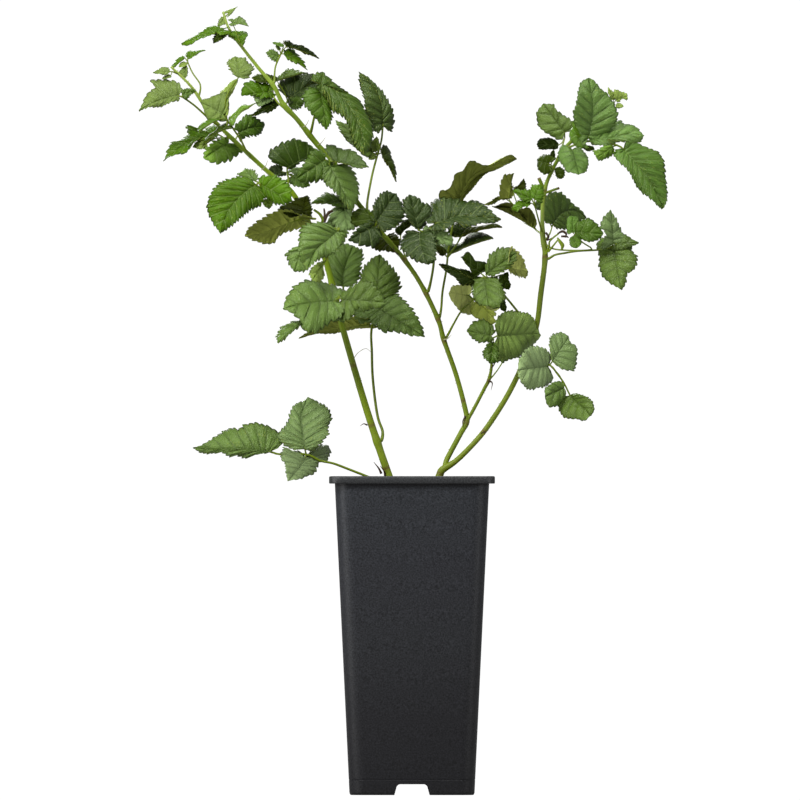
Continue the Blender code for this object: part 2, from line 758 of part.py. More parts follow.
def leaf(name, spec, parts, cutters):
    """A compound leaf: its stalk runs on into the first leaflet, and the others branch from the fork."""
    route = leaf_route(spec)
    fork = route[-1]
    whole = None
    spares = []
    for index, leaflet in enumerate(spec.leaflets):
        via = [Vector((x, spec.depth, z)) for x, z in leaflet.via]
        radius = spec.radius if index == 0 else spec.radius * BRANCH_RADIUS
        start = route if index == 0 else [fork]
        place = cutters if index else parts
        solid = leaflet_solid(f"{name}_{index}", [*start, *via], radius, leaflet, spec.depth, place)
        if whole is None:
            whole = solid
        else:
            boolean(whole, solid, "UNION")
            spares.append(solid)
    return joined(name, whole, spares)


def joined(name, whole, spares):
    """Turn an object and the solids joined to it into one plain mesh."""
    bpy.context.view_layer.update()
    mesh = bpy.data.meshes.new_from_object(whole.evaluated_get(bpy.context.evaluated_depsgraph_get()))
    whole.modifiers.clear()
    whole.data = mesh
    whole.name = mesh.name = name
    for spare in spares:
        bpy.data.objects.remove(spare)
    return whole


def finish(piece, look, centre):
    """Give a piece its material and its place on the plant."""
    piece.data.materials.clear()
    piece.data.materials.append(look)
    piece.parent = centre


def main():
    clear_scene()
    parts = collection("potted_tayberry")
    cutters = collection("cutters")
    centre = bpy.data.objects.new("pot_centre", None)
    centre.location = (POT_X * MM, POT_Y * MM, 0)
    parts.objects.link(centre)
    finish(pot(parts, cutters), material("pot_plastic", POT_GREY), centre)
    finish(soil(parts, cutters), material("compost", SOIL_BROWN), centre)
    for cutter in cutters.objects:
        cutter.parent = centre
    bark = material("cane_bark", CANE_GREEN)
    for name in CANES:
        finish(tube(name, cane_course(name), parts), bark, centre)
    green = material("leaf_green", LEAF_GREEN)
    for name, spec in LEAVES.items():
        finish(leaf(name, spec, parts, cutters), green, centre)


main()
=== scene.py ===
"""The looks of the potted tayberry plant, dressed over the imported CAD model.

The plant's courses are in millimetres from the pot's middle: X and Z are its width and height seen from the front,
Y is its depth, and the front is -Y. They repeat the CAD source's values, except that leaf_dark_top grows a little
further forward and the first leaflet of leaf_low_left is turned more to the viewer. place() turns them into the row
frame.
"""

import json
import math
import random
from collections import namedtuple

import bmesh
import bpy
import numpy as np
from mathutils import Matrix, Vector, noise

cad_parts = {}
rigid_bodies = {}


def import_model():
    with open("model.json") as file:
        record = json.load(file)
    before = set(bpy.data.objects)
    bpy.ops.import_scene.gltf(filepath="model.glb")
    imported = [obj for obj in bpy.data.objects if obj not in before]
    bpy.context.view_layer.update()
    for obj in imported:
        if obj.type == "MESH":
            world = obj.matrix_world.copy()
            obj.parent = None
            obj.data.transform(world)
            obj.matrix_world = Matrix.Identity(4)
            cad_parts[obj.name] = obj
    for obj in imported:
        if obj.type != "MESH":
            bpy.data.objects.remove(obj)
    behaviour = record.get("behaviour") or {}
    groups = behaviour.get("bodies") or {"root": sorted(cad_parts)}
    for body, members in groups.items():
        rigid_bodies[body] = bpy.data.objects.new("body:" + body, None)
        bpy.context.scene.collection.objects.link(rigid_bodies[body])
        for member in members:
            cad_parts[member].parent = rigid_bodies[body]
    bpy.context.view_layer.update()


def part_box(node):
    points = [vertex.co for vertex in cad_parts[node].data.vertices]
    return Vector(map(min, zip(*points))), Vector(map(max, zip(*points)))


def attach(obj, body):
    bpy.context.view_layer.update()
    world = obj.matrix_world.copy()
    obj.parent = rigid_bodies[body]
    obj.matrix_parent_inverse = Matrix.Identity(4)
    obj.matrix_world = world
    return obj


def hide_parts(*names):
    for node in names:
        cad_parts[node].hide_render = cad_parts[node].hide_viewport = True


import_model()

MM = 0.001
pot_low, pot_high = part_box("pot")
CENTRE = Vector(((pot_low.x + pot_high.x) / 2, (pot_low.y + pot_high.y) / 2, 0))

# The camera looks at the plant level with the pot's rim, from far enough to see it without perspective.
VIEW_DISTANCE = 25.0
VIEW_HEIGHT = 0.25
VIEW_MIDDLE = Vector((-0.0094, 0, 0.3097))
VIEW_WIDTH = 0.628
SENSOR = 36

# The studio, in metres: the floor, the white that the camera sees, the dimmer light that comes from all round, and
# the lights as (name, place, size, watts), all turned to one point.
FLOOR_SIZE, FLOOR_HEIGHT = 3, -0.0002
SHEET_GLOW = 1.05
WALL_LIGHT = 0.21
LIT_MIDDLE = (0, 0, 0.35)
LIGHTS = (
    ("key", (-1.1, -1.7, 1.9), 0.7, 56),
    ("top", (0.3, -0.1, 2.3), 0.9, 30),
    ("left", (-1.6, -0.72, 0.5), 0.6, 12),
    ("right", (1.6, -0.8, 0.5), 0.5, 6),
    ("back", (-0.5, 2.2, 1.1), 0.9, 22),
)

# The gloss of what is given none of its own.
GLOSS = 0.3

# The pot: half its width at the foot and how fast it widens, its wall, and the corners of its body and its rim.
FOOT_HALF = 49
TAPER = (60.5 - FOOT_HALF) / 244
WALL = 1.5
BODY_CORNER, RIM_CORNER, RIM_HALF = 13, 9, 65
CORNER_STEPS = 9
# Its section, from under the floor round to the inside: the outside as (inset, height) with the faint groove above
# the foot, the folded rim as (half width, height), and the heights of the inside.
# The rings at 241 and 243 carry the painted shadow band under the rim's fold.
POT_OUTSIDE = (
    (WALL, 11.5), (WALL, 1.0), (1.4, 0.1), (1.2, 0), (0.7, 0.25), (0.25, 0.9), (0, 2), (0, 2.6), (0, 11), (0, 11.5),
    (0.25, 11.8), (0.25, 12.2), (0, 12.5), (0, 13), (0, 60), (0, 120), (0, 180), (0, 235), (0, 241), (0, 243),
    (0, 247.6),
)
POT_FOLD = (
    (63.2, 248.5), (63.6, 248.0), (63.7, 244.5), (64.1, 244.05), (64.6, 244.1), (65, 244.6), (65, 248.9),
    (64.75, 249.6), (64.1, 250), (60.6, 250), (59.8, 249.7), (59.5, 249),
)
POT_INSIDE = (247, 232, 180, 100, 15, 13.2)
# The drainage holes in its floor, and the notches in its foot, which widen downwards.
HOLES = ((0, 0), (27, 27), (-27, 27), (-27, -27), (27, -27))
HOLE_RADIUS, HOLE_DEPTH, HOLE_HEIGHT = 5, 8, 12.2
NOTCH_SIZE, NOTCH_MIDDLE = (23, 130, 20), (0, 0, -1.5)
NOTCH_BEVEL, NOTCH_SLOPE = 2.2, 0.27
# The grey of the plastic at heights, with painted light: paler going up towards the rim and on it, where the light
# from above falls, darker towards the foot, and a painted shadow band just under the rim's fold (241 to 244.2).
POT_GREYS_AND_PAINTED_LIGHT = (
    (0, (26, 26, 28)), (13, (25, 25, 28)), (60, (28, 28, 31)), (120, (36, 37, 40)), (180, (39, 40, 44)),
    (235, (43, 45, 49)), (241, (43, 45, 49)), (243, (26, 26, 28)), (244.2, (30, 31, 32)), (245, (56, 57, 58)),
    (250, (54, 55, 56)),
)

# The compost: its top and its foot, its gap to the wall, the cells of its grid, and the crumbs on it.
SOIL_TOP, SOIL_FOOT, SOIL_GAP, SOIL_CELLS = 232, 14, 0.3, 64
SOIL_BROWN = (44, 33, 25)
CRUMBS = 650
CRUMB_BROWNS = ((46, 34, 26), (58, 42, 30), (36, 28, 22), (78, 58, 40))

# A cane or shoot: where it starts (a parent and a height on it, or None for the soil), and its course as
# (x, depth, height, radius).
Cane = namedtuple("Cane", "parent height course")
CANES = {
    "cane_left": Cane(None, None, (
        (-4, -7, 204, 3.2), (-12, -6, 232, 3.1), (-25, -7, 270, 2.9), (-38, -8, 310, 2.7),
        (-56, -10, 372, 2.4), (-68, -12, 420, 2.3), (-82, -14, 450, 2.2), (-93, -16, 471, 2.0),
        (-110, -18, 486, 1.8), (-134, -22, 508, 1.5), (-156, -26, 530, 1.3), (-172, -30, 554, 1.1),
        (-189, -33, 571, 0.8),
    )),
    "cane_right": Cane(None, None, (
        (4, 7, 204, 3.4), (14, 5, 232, 3.3), (21.5, 3, 250, 3.0), (24, 2, 255, 2.6), (34, 1, 261.5, 2.2),
        (46, 0, 273, 2.15), (58, 0, 287, 2.15), (72.5, -1, 309, 2.1), (83, -2, 329, 2.1),
        (91.5, -3, 349, 2.1), (98, -4, 369, 2.1), (101, -5, 392, 2.2), (104.5, -6, 422, 2.1),
        (102.5, -6, 440, 1.7), (102.5, -5, 460, 1.6), (104, -5, 474, 1.6), (109, -5, 488, 1.4),
        (120, -5, 507, 1.3), (133, -4, 520, 1.2), (147, -3, 533, 1.0), (157, -2, 543, 0.8),
    )),
    "cane_middle": Cane("cane_right", 256, (
        (27, 4, 262, 2.1), (31, 5, 270, 2.1), (38.5, 6, 284, 2.1), (43, 7, 293, 2.1), (41.5, 7, 304, 2.0),
        (34.5, 8, 330, 1.9), (25, 9, 357, 1.9), (20.5, 9, 373, 1.9), (8, 10, 399, 1.8), (-6, 12, 420, 1.8),
        (-28, 14, 446, 1.8), (-50, 16, 475, 1.9), (-62, 18, 497, 2.1), (-74, 20, 510, 2.2),
        (-90, 22, 530, 1.9), (-101, 24, 542, 1.8), (-109, 26, 557, 1.6), (-120, 28, 570, 1.4),
        (-135, 29, 589, 1.2), (-144, 30, 602, 1.0), (-148.5, 31, 615, 0.8),
    )),
    "shoot_low": Cane("cane_middle", 292, (
        (49, 5, 303.5, 1.4), (57, 2, 319, 1.4), (60.5, 0, 326, 1.3), (62.5, -3, 338, 1.1), (61, -6, 352, 1.0),
    )),
    "stub_upper": Cane("cane_right", 474, ((99.5, -6, 484, 1.4),)),
    "stub_side": Cane("cane_right", 472, ((115.5, -8, 476, 1.0),)),
}

# A leaflet, as seen from the front: where its blade starts and ends as (x, height), the width it shows, whether
# it shows its upper or under side, and the points its own stalk passes on the way from the leaf's fork.
UPPER, UNDER = 1, -1
Leaflet = namedtuple("Leaflet", "base tip width side via", defaults=(UPPER, ()))

# A leaf: its cane and the height it grows at, the depth of its fork, the radius of its stalk, the stalk's points
# as (x, height) with the fork last, and its leaflets. The first leaflet carries the stalk on.
Leaf = namedtuple("Leaf", "cane height depth radius stalk leaflets")
LEAVES = {
    "leaf_low_left": Leaf("cane_left", 239, -14, 1.1,
        ((-24, 245), (-36, 250), (-50, 255.5), (-62, 260), (-72, 262), (-83, 267)),
        (Leaflet((-111, 269), (-172, 272), 44, UPPER, ((-103, 267),)), Leaflet((-84, 271), (-82, 312), 38),
         Leaflet((-84, 264), (-97, 246), 34))),
    "leaf_inner": Leaf("cane_left", 277, 16, 1.2,
        ((-23, 285), (-26.5, 295), (-29, 310), (-31, 330), (-31.5, 348), (-32, 362), (-30, 376)),
        (Leaflet((-28, 384), (-25, 424), 30), Leaflet((-29, 383), (10, 359), 32),
         Leaflet((-34, 369), (-89, 358), 12, UNDER))),
    "leaf_front": Leaf("cane_left", 400, -54, 1.1, ((-61, 396), (-57, 390)),
        (Leaflet((-60, 387), (-101, 381), 28), Leaflet((-55, 388), (-21, 386), 24), Leaflet((-58, 385), (-82, 363), 20),
         Leaflet((-86, 370), (-105, 354), 12, UPPER, ((-72, 377),)))),
    "leaf_behind": Leaf("cane_left", 395, 34, 1.0, ((-54, 395),),
        (Leaflet((-54, 399), (-46, 431), 24),)),
    "leaf_mid_front": Leaf("cane_left", 440, -56, 1.0, ((-66, 443), (-57, 444)),
        (Leaflet((-58, 442), (-82, 411), 34), Leaflet((-85, 431), (-92, 410), 16, UPPER, ((-70, 436),)),
         Leaflet((-68, 418), (-78, 403), 12, UPPER, ((-62, 430), (-66, 422))))),
    "leaf_olive_left": Leaf("cane_left", 451, -38, 1.0, ((-84, 453),),
        (Leaflet((-88, 451), (-131, 438), 25, UNDER), Leaflet((-86, 455), (-83, 470), 20))),
    "leaf_bright_left": Leaf("cane_left", 483, -60, 1.0, ((-112, 482), (-120, 480)),
        (Leaflet((-122, 478), (-150, 440), 42), Leaflet((-118, 478), (-94, 465), 21),
         Leaflet((-113, 467), (-112, 459), 8, UPPER, ((-117, 473),)), Leaflet((-123, 481), (-131, 491), 15))),
    "leaf_left_dark": Leaf("cane_left", 476, 8, 0.9, ((-97, 483), (-98, 488)),
        (Leaflet((-98, 492), (-74, 506), 25), Leaflet((-102, 489), (-113, 490), 9), Leaflet((-95, 489), (-87, 492), 7),
         Leaflet((-94, 485), (-80, 478), 9))),
    "leaf_mid_top": Leaf("cane_middle", 496, -18, 1.0, ((-65, 497),),
        (Leaflet((-68, 498), (-91, 483), 22), Leaflet((-65, 494), (-47, 457), 24),
         Leaflet((-62, 497), (-33.5, 492), 13))),
    "leaf_mid_small": Leaf("cane_middle", 470, 4, 0.7, ((-53, 465),),
        (Leaflet((-56, 465), (-79, 464), 9), Leaflet((-54, 462), (-50, 443), 18),
         Leaflet((-68, 448), (-58, 442), 8, UPPER, ((-62, 458), (-68, 453))))),
    "leaf_hanging": Leaf("cane_middle", 519, 0, 1.0, ((-77, 531), (-74, 545), (-73, 554)),
        (Leaflet((-72, 553), (-67, 522), 22), Leaflet((-73, 558), (-37, 502), 28))),
    "leaf_dark_top": Leaf("cane_middle", 541, 59, 0.8, ((-98, 546),),
        (Leaflet((-97, 547), (-50, 551), 26), Leaflet((-106, 561), (-84, 567), 9, UPPER, ((-101, 553), (-105, 559))),
         Leaflet((-97, 543), (-85, 543), 13))),
    "leaf_node_left": Leaf("cane_middle", 538, 38, 0.8, ((-105, 543), (-110, 550)),
        (Leaflet((-112, 552), (-134, 549), 15), Leaflet((-112, 549), (-122, 542), 9),
         Leaflet((-108, 559), (-126, 563), 9), Leaflet((-105, 542), (-126, 533), 9))),
    "leaf_top_small": Leaf("cane_middle", 558, 44, 0.8, ((-108, 566), (-107, 573), (-103, 582)),
        (Leaflet((-105, 580), (-115, 583), 9), Leaflet((-101, 582), (-82, 569), 10),
         Leaflet((-99, 588), (-73, 578), 6, UPPER, ((-101, 585),)), Leaflet((-101, 588), (-110, 591), 3),
         Leaflet((-104, 585), (-107, 589), 2.5))),
    "leaf_tip_long": Leaf("cane_middle", 598, 22, 0.6, ((-146, 600),),
        (Leaflet((-149, 600), (-181, 589), 8), Leaflet((-148, 598), (-156, 590), 8))),
    "leaf_tip_right": Leaf("cane_middle", 593, 10, 0.6, ((-136, 593),),
        (Leaflet((-135, 590), (-137, 600), 15), Leaflet((-141, 606), (-128, 603), 7, UPPER, ((-139, 601),)))),
    "leaf_tip_bud": Leaf("cane_middle", 611, 38, 0.5, ((-145, 613),),
        (Leaflet((-144, 614), (-137, 619), 5), Leaflet((-147, 610), (-153, 603), 6))),
    "leaf_end_arc": Leaf("cane_left", 548, -18, 0.7, ((-166, 557), (-172, 566), (-176, 575)),
        (Leaflet((-176, 578), (-162, 584), 5), Leaflet((-178, 578), (-188, 569), 5),
         Leaflet((-177, 574), (-183, 571), 4), Leaflet((-177, 572), (-178, 562), 7))),
    "leaf_end_left": Leaf("cane_left", 566, -40, 0.6, ((-188, 567),),
        (Leaflet((-190, 567), (-203, 566), 7), Leaflet((-189, 564), (-196, 561), 3))),
    "leaf_far_left": Leaf("cane_left", 526, -50, 0.9, ((-159, 530), (-170, 540), (-180, 547)),
        (Leaflet((-183, 548), (-214, 536), 21), Leaflet((-180, 549), (-169, 552), 8))),
    "leaf_bright_center": Leaf("cane_left", 502, -52, 0.9, ((-130, 505), (-134, 513), (-140, 522), (-145, 529)),
        (Leaflet((-146, 532), (-137, 561), 11), Leaflet((-148, 533), (-166, 543), 17),
         Leaflet((-143, 529), (-121, 543), 8), Leaflet((-136, 562), (-138, 579), 20, UPPER, ((-146, 545), (-139, 558))),
         Leaflet((-151, 530), (-167, 519), 5), Leaflet((-145, 524), (-164, 508), 6))),
    "leaf_lobed_left": Leaf("cane_left", 517, -20, 0.8, ((-147, 515),),
        (Leaflet((-152, 518), (-195, 497), 16), Leaflet((-144, 511), (-163, 499), 19),
         Leaflet((-161, 511), (-172, 508), 7, UPPER, ((-154, 515),)))),
    "leaf_dark_left": Leaf("cane_left", 513, 26, 0.8, ((-137, 518),),
        (Leaflet((-136, 520), (-116, 525), 20),)),
    "leaf_tall": Leaf("cane_middle", 458, 42, 1.0, ((-35, 466), (-33, 478), (-30.5, 490), (-27, 503)),
        (Leaflet((-23, 525), (-42, 568), 26, UPPER, ((-24, 514),)), Leaflet((-31, 504), (-60, 530), 12),
         Leaflet((-24, 504), (-12.5, 481), 9), Leaflet((-28.5, 505), (-28, 517), 6),
         Leaflet((-29, 503), (-34, 499), 5))),
    "leaf_round": Leaf("cane_middle", 445, -20, 0.9, ((-28, 447),),
        (Leaflet((-28, 449), (-13, 472), 27), Leaflet((-30, 446), (-50, 435), 17),
         Leaflet((-30, 449), (-37, 460), 12))),
    "leaf_round_behind": Leaf("cane_middle", 436, 46, 0.8, ((-19, 438),),
        (Leaflet((-20, 438), (-11, 426), 20),)),
    "leaf_blue": Leaf("cane_middle", 394, -8, 1.1, ((15, 404), (17, 417), (17, 430), (11, 440)),
        (Leaflet((5, 443), (-2, 471), 20), Leaflet((6, 441), (12, 416), 27), Leaflet((18, 448), (70, 452), 22),
         Leaflet((14, 440), (32, 434), 14))),
    "leaf_node_small": Leaf("cane_middle", 419, 20, 0.6, ((-7, 427), (-8.5, 434)),
        (Leaflet((-9, 439), (-2, 452), 8),)),
    "leaf_olive_top": Leaf("cane_middle", 374, 44, 1.0, ((23, 382), (24, 395), (27, 412), (28, 422)),
        (Leaflet((36, 463), (82, 500), 24, UNDER, ((30, 436), (33, 452))), Leaflet((31, 425), (64, 437), 9),
         Leaflet((40, 440), (71, 446), 6, UPPER, ((35, 432),)), Leaflet((38, 438), (37, 449), 18, UPPER, ((34, 430),)),
         Leaflet((26, 424), (17, 432), 6))),
    "leaf_fold_left": Leaf("cane_right", 440, 36, 0.8, ((98, 443),),
        (Leaflet((96, 445), (63, 462), 12, UNDER), Leaflet((76, 468), (80, 488), 11, UNDER, ((88, 456), (80, 463))),
         Leaflet((72, 469), (57, 463), 4, UNDER, ((88, 455), (79, 464))),
         Leaflet((80, 473), (88, 484), 9, UPPER, ((89, 457), (82, 466))))),
    "leaf_small_bright": Leaf("cane_right", 442, -34, 0.7, ((99, 452), (96, 463)),
        (Leaflet((94, 467), (79, 473), 10), Leaflet((93, 464), (78, 459), 9), Leaflet((96, 467), (100, 479), 13))),
    "leaf_dark_right": Leaf("cane_right", 434, 44, 0.8, ((108, 440), (110, 446)),
        (Leaflet((111, 448), (137, 453), 28), Leaflet((104, 462), (95, 464), 7, UPPER, ((106, 454),)))),
    "leaf_long_stalk": Leaf("cane_right", 421, -12, 0.9,
        ((112, 423.5), (120, 425), (130, 426.5), (147, 427.5), (156, 429)),
        (Leaflet((160, 432), (178, 433), 11), Leaflet((158, 432), (156, 459), 18),
         Leaflet((158, 428), (164, 396), 30))),
    "leaf_side": Leaf("cane_right", 431, -30, 0.7, ((112, 428), (128, 427), (141, 428), (134, 433), (128, 439)),
        (Leaflet((128, 441), (150, 440), 17), Leaflet((126, 441), (126, 454), 10), Leaflet((126, 438), (130, 429), 9))),
    "leaf_top_right": Leaf("cane_right", 506, -46, 1.0, ((126, 509), (135, 512)),
        (Leaflet((138, 515), (138, 562), 34), Leaflet((140, 513), (182, 517), 20), Leaflet((134, 512), (124, 521), 14),
         Leaflet((135, 514), (127, 530), 9), Leaflet((135, 508), (143, 506), 8))),
    "leaf_right_end": Leaf("cane_right", 513, 26, 1.0, ((140, 513), (150, 512), (161, 510)),
        (Leaflet((166, 507), (197, 460), 27), Leaflet((158, 509), (145, 500), 12))),
    "leaf_upper_left": Leaf("cane_right", 500, 34, 0.8, ((118, 509), (120, 516)),
        (Leaflet((120, 520), (103, 543), 23), Leaflet((115, 510), (98, 511), 9, UPPER, ((118, 512),)))),
    "leaf_center_right": Leaf("cane_right", 501, -22, 0.8, ((124, 505),),
        (Leaflet((126, 506), (131, 486), 24),)),
    "leaf_small_right": Leaf("cane_right", 490, -22, 0.7, ((109, 494),),
        (Leaflet((107, 495), (98, 498), 14), Leaflet((110, 498), (111, 506), 4), Leaflet((112, 491), (117, 483), 7))),
    "leaf_tip_spike": Leaf("cane_right", 540, -14, 0.5, ((158, 542),),
        (Leaflet((160, 545), (169, 548), 9), Leaflet((158, 545), (154, 555), 4), Leaflet((160, 541), (166, 540), 4))),
    "leaf_fan": Leaf("cane_right", 361, -24, 1.0, ((90, 371), (83, 379), (73, 391), (60, 404)),
        (Leaflet((50, 403), (21, 416), 12, UPPER, ((56, 406),)), Leaflet((58, 408), (82, 425), 20),
         Leaflet((57, 405), (60, 383), 26), Leaflet((54, 409), (38, 422), 12),
         Leaflet((76, 413), (91, 411), 20, UNDER, ((66, 409),)),
         Leaflet((71, 408), (76, 396), 7, UPPER, ((65, 406),)))),
    "leaf_under_left": Leaf("cane_middle", 358, 34, 0.9, ((33, 370), (39, 380), (48, 389)),
        (Leaflet((45, 392), (29, 394), 22, UNDER), Leaflet((51, 387), (67, 371), 11),
         Leaflet((51, 389), (69, 382), 9, UNDER), Leaflet((68, 391), (74, 379), 7, UPPER, ((58, 391),)))),
    "leaf_big_round": Leaf("shoot_low", 350, -40, 0.8, ((63, 358),),
        (Leaflet((67, 360), (101, 361), 38), Leaflet((62, 360), (43, 364), 17), Leaflet((64, 355), (61, 338), 17))),
    "leaf_shoot_back": Leaf("shoot_low", 325, 22, 0.6, ((67, 333), (72, 341)),
        (Leaflet((74, 345), (82, 366), 13),)),
    "leaf_low_right": Leaf("cane_right", 341, -44, 0.9, ((98, 339), (108, 337)),
        (Leaflet((124, 313), (140, 297), 24, UPPER, ((114, 330), (119, 323))), Leaflet((106, 336), (83, 333), 31),
         Leaflet((110, 340), (123, 359), 24), Leaflet((119, 319), (104, 312), 17, UPPER, ((116, 328),)))),
}


# A blade's turn in space: how wide it is for its length when it is seen square on, the least that it leans to or
# from the viewer, and the most that it rolls.
BLADE_RATIO = 0.74
LEAST_LEAN = 0.2
STEEPEST_ROLL = math.radians(66)
# Its base lobes: how far they reach back, and along which share of the blade, on a drawn margin and a plain one.
LOBE, LOBE_REACH, HEART_REACH = 0.05, 0.3, 0.36
# Its veins: how far apart they are, how much further up the midrib the outer ones start, and where they end.
VEIN_SPACING, VEIN_SLANT, VEIN_END = 5.8, 2.3, 0.97
# How far its teeth stand out and lean, how much it swells between the veins, and how rough and wavy it is.
TOOTH_SIZE, TOOTH_LEAN, END_HALF = 0.24, 0.8, 0.2
QUILT, ROUGHNESS, SWAY = 0.2, 0.0042, 0.05
# The ranges that its fold, the curl of its margins, the number of its waves and its arch are drawn from.
FOLD, CURL, WAVES, ARCH = (0.08, 0.34), (0.1, 0.32), (1.3, 2.6), (0.03, 0.08)
# Where its stalk ends, as shares of the midrib, and how far under the blade.
STALK_ENDS, STALK_DROP = np.array((0.1, 0.26)), -0.3
# The columns from the midrib to a margin.
COLUMNS = np.array((0, 0.03, 0.11, 0.23, 0.36, 0.5, 0.64, 0.78, 0.9, 1.0))
# The rows from one side vein to the next: where they lie, and how far the margin stands out there. The first is
# the vein and its tooth, and a smaller tooth follows it.
PHASES = np.array((0, 0.06, 0.12, 0.18, 0.3, 0.44, 0.54, 0.61, 0.67, 0.79, 0.91))
TOOTH = (1, 0.95, 0.5, -0.5, 0.05, 0.45, 0.5, 0.1, -0.5, 0.2, 0.8)

# A blade's margins as they look from the front, between its base and its tip: a few points on the right of one
# who looks from base to tip, a few on the left, a few on the midrib where it is not straight, and how big the teeth
# are.
Outline = namedtuple("Outline", "right left rib teeth", defaults=((), 1))
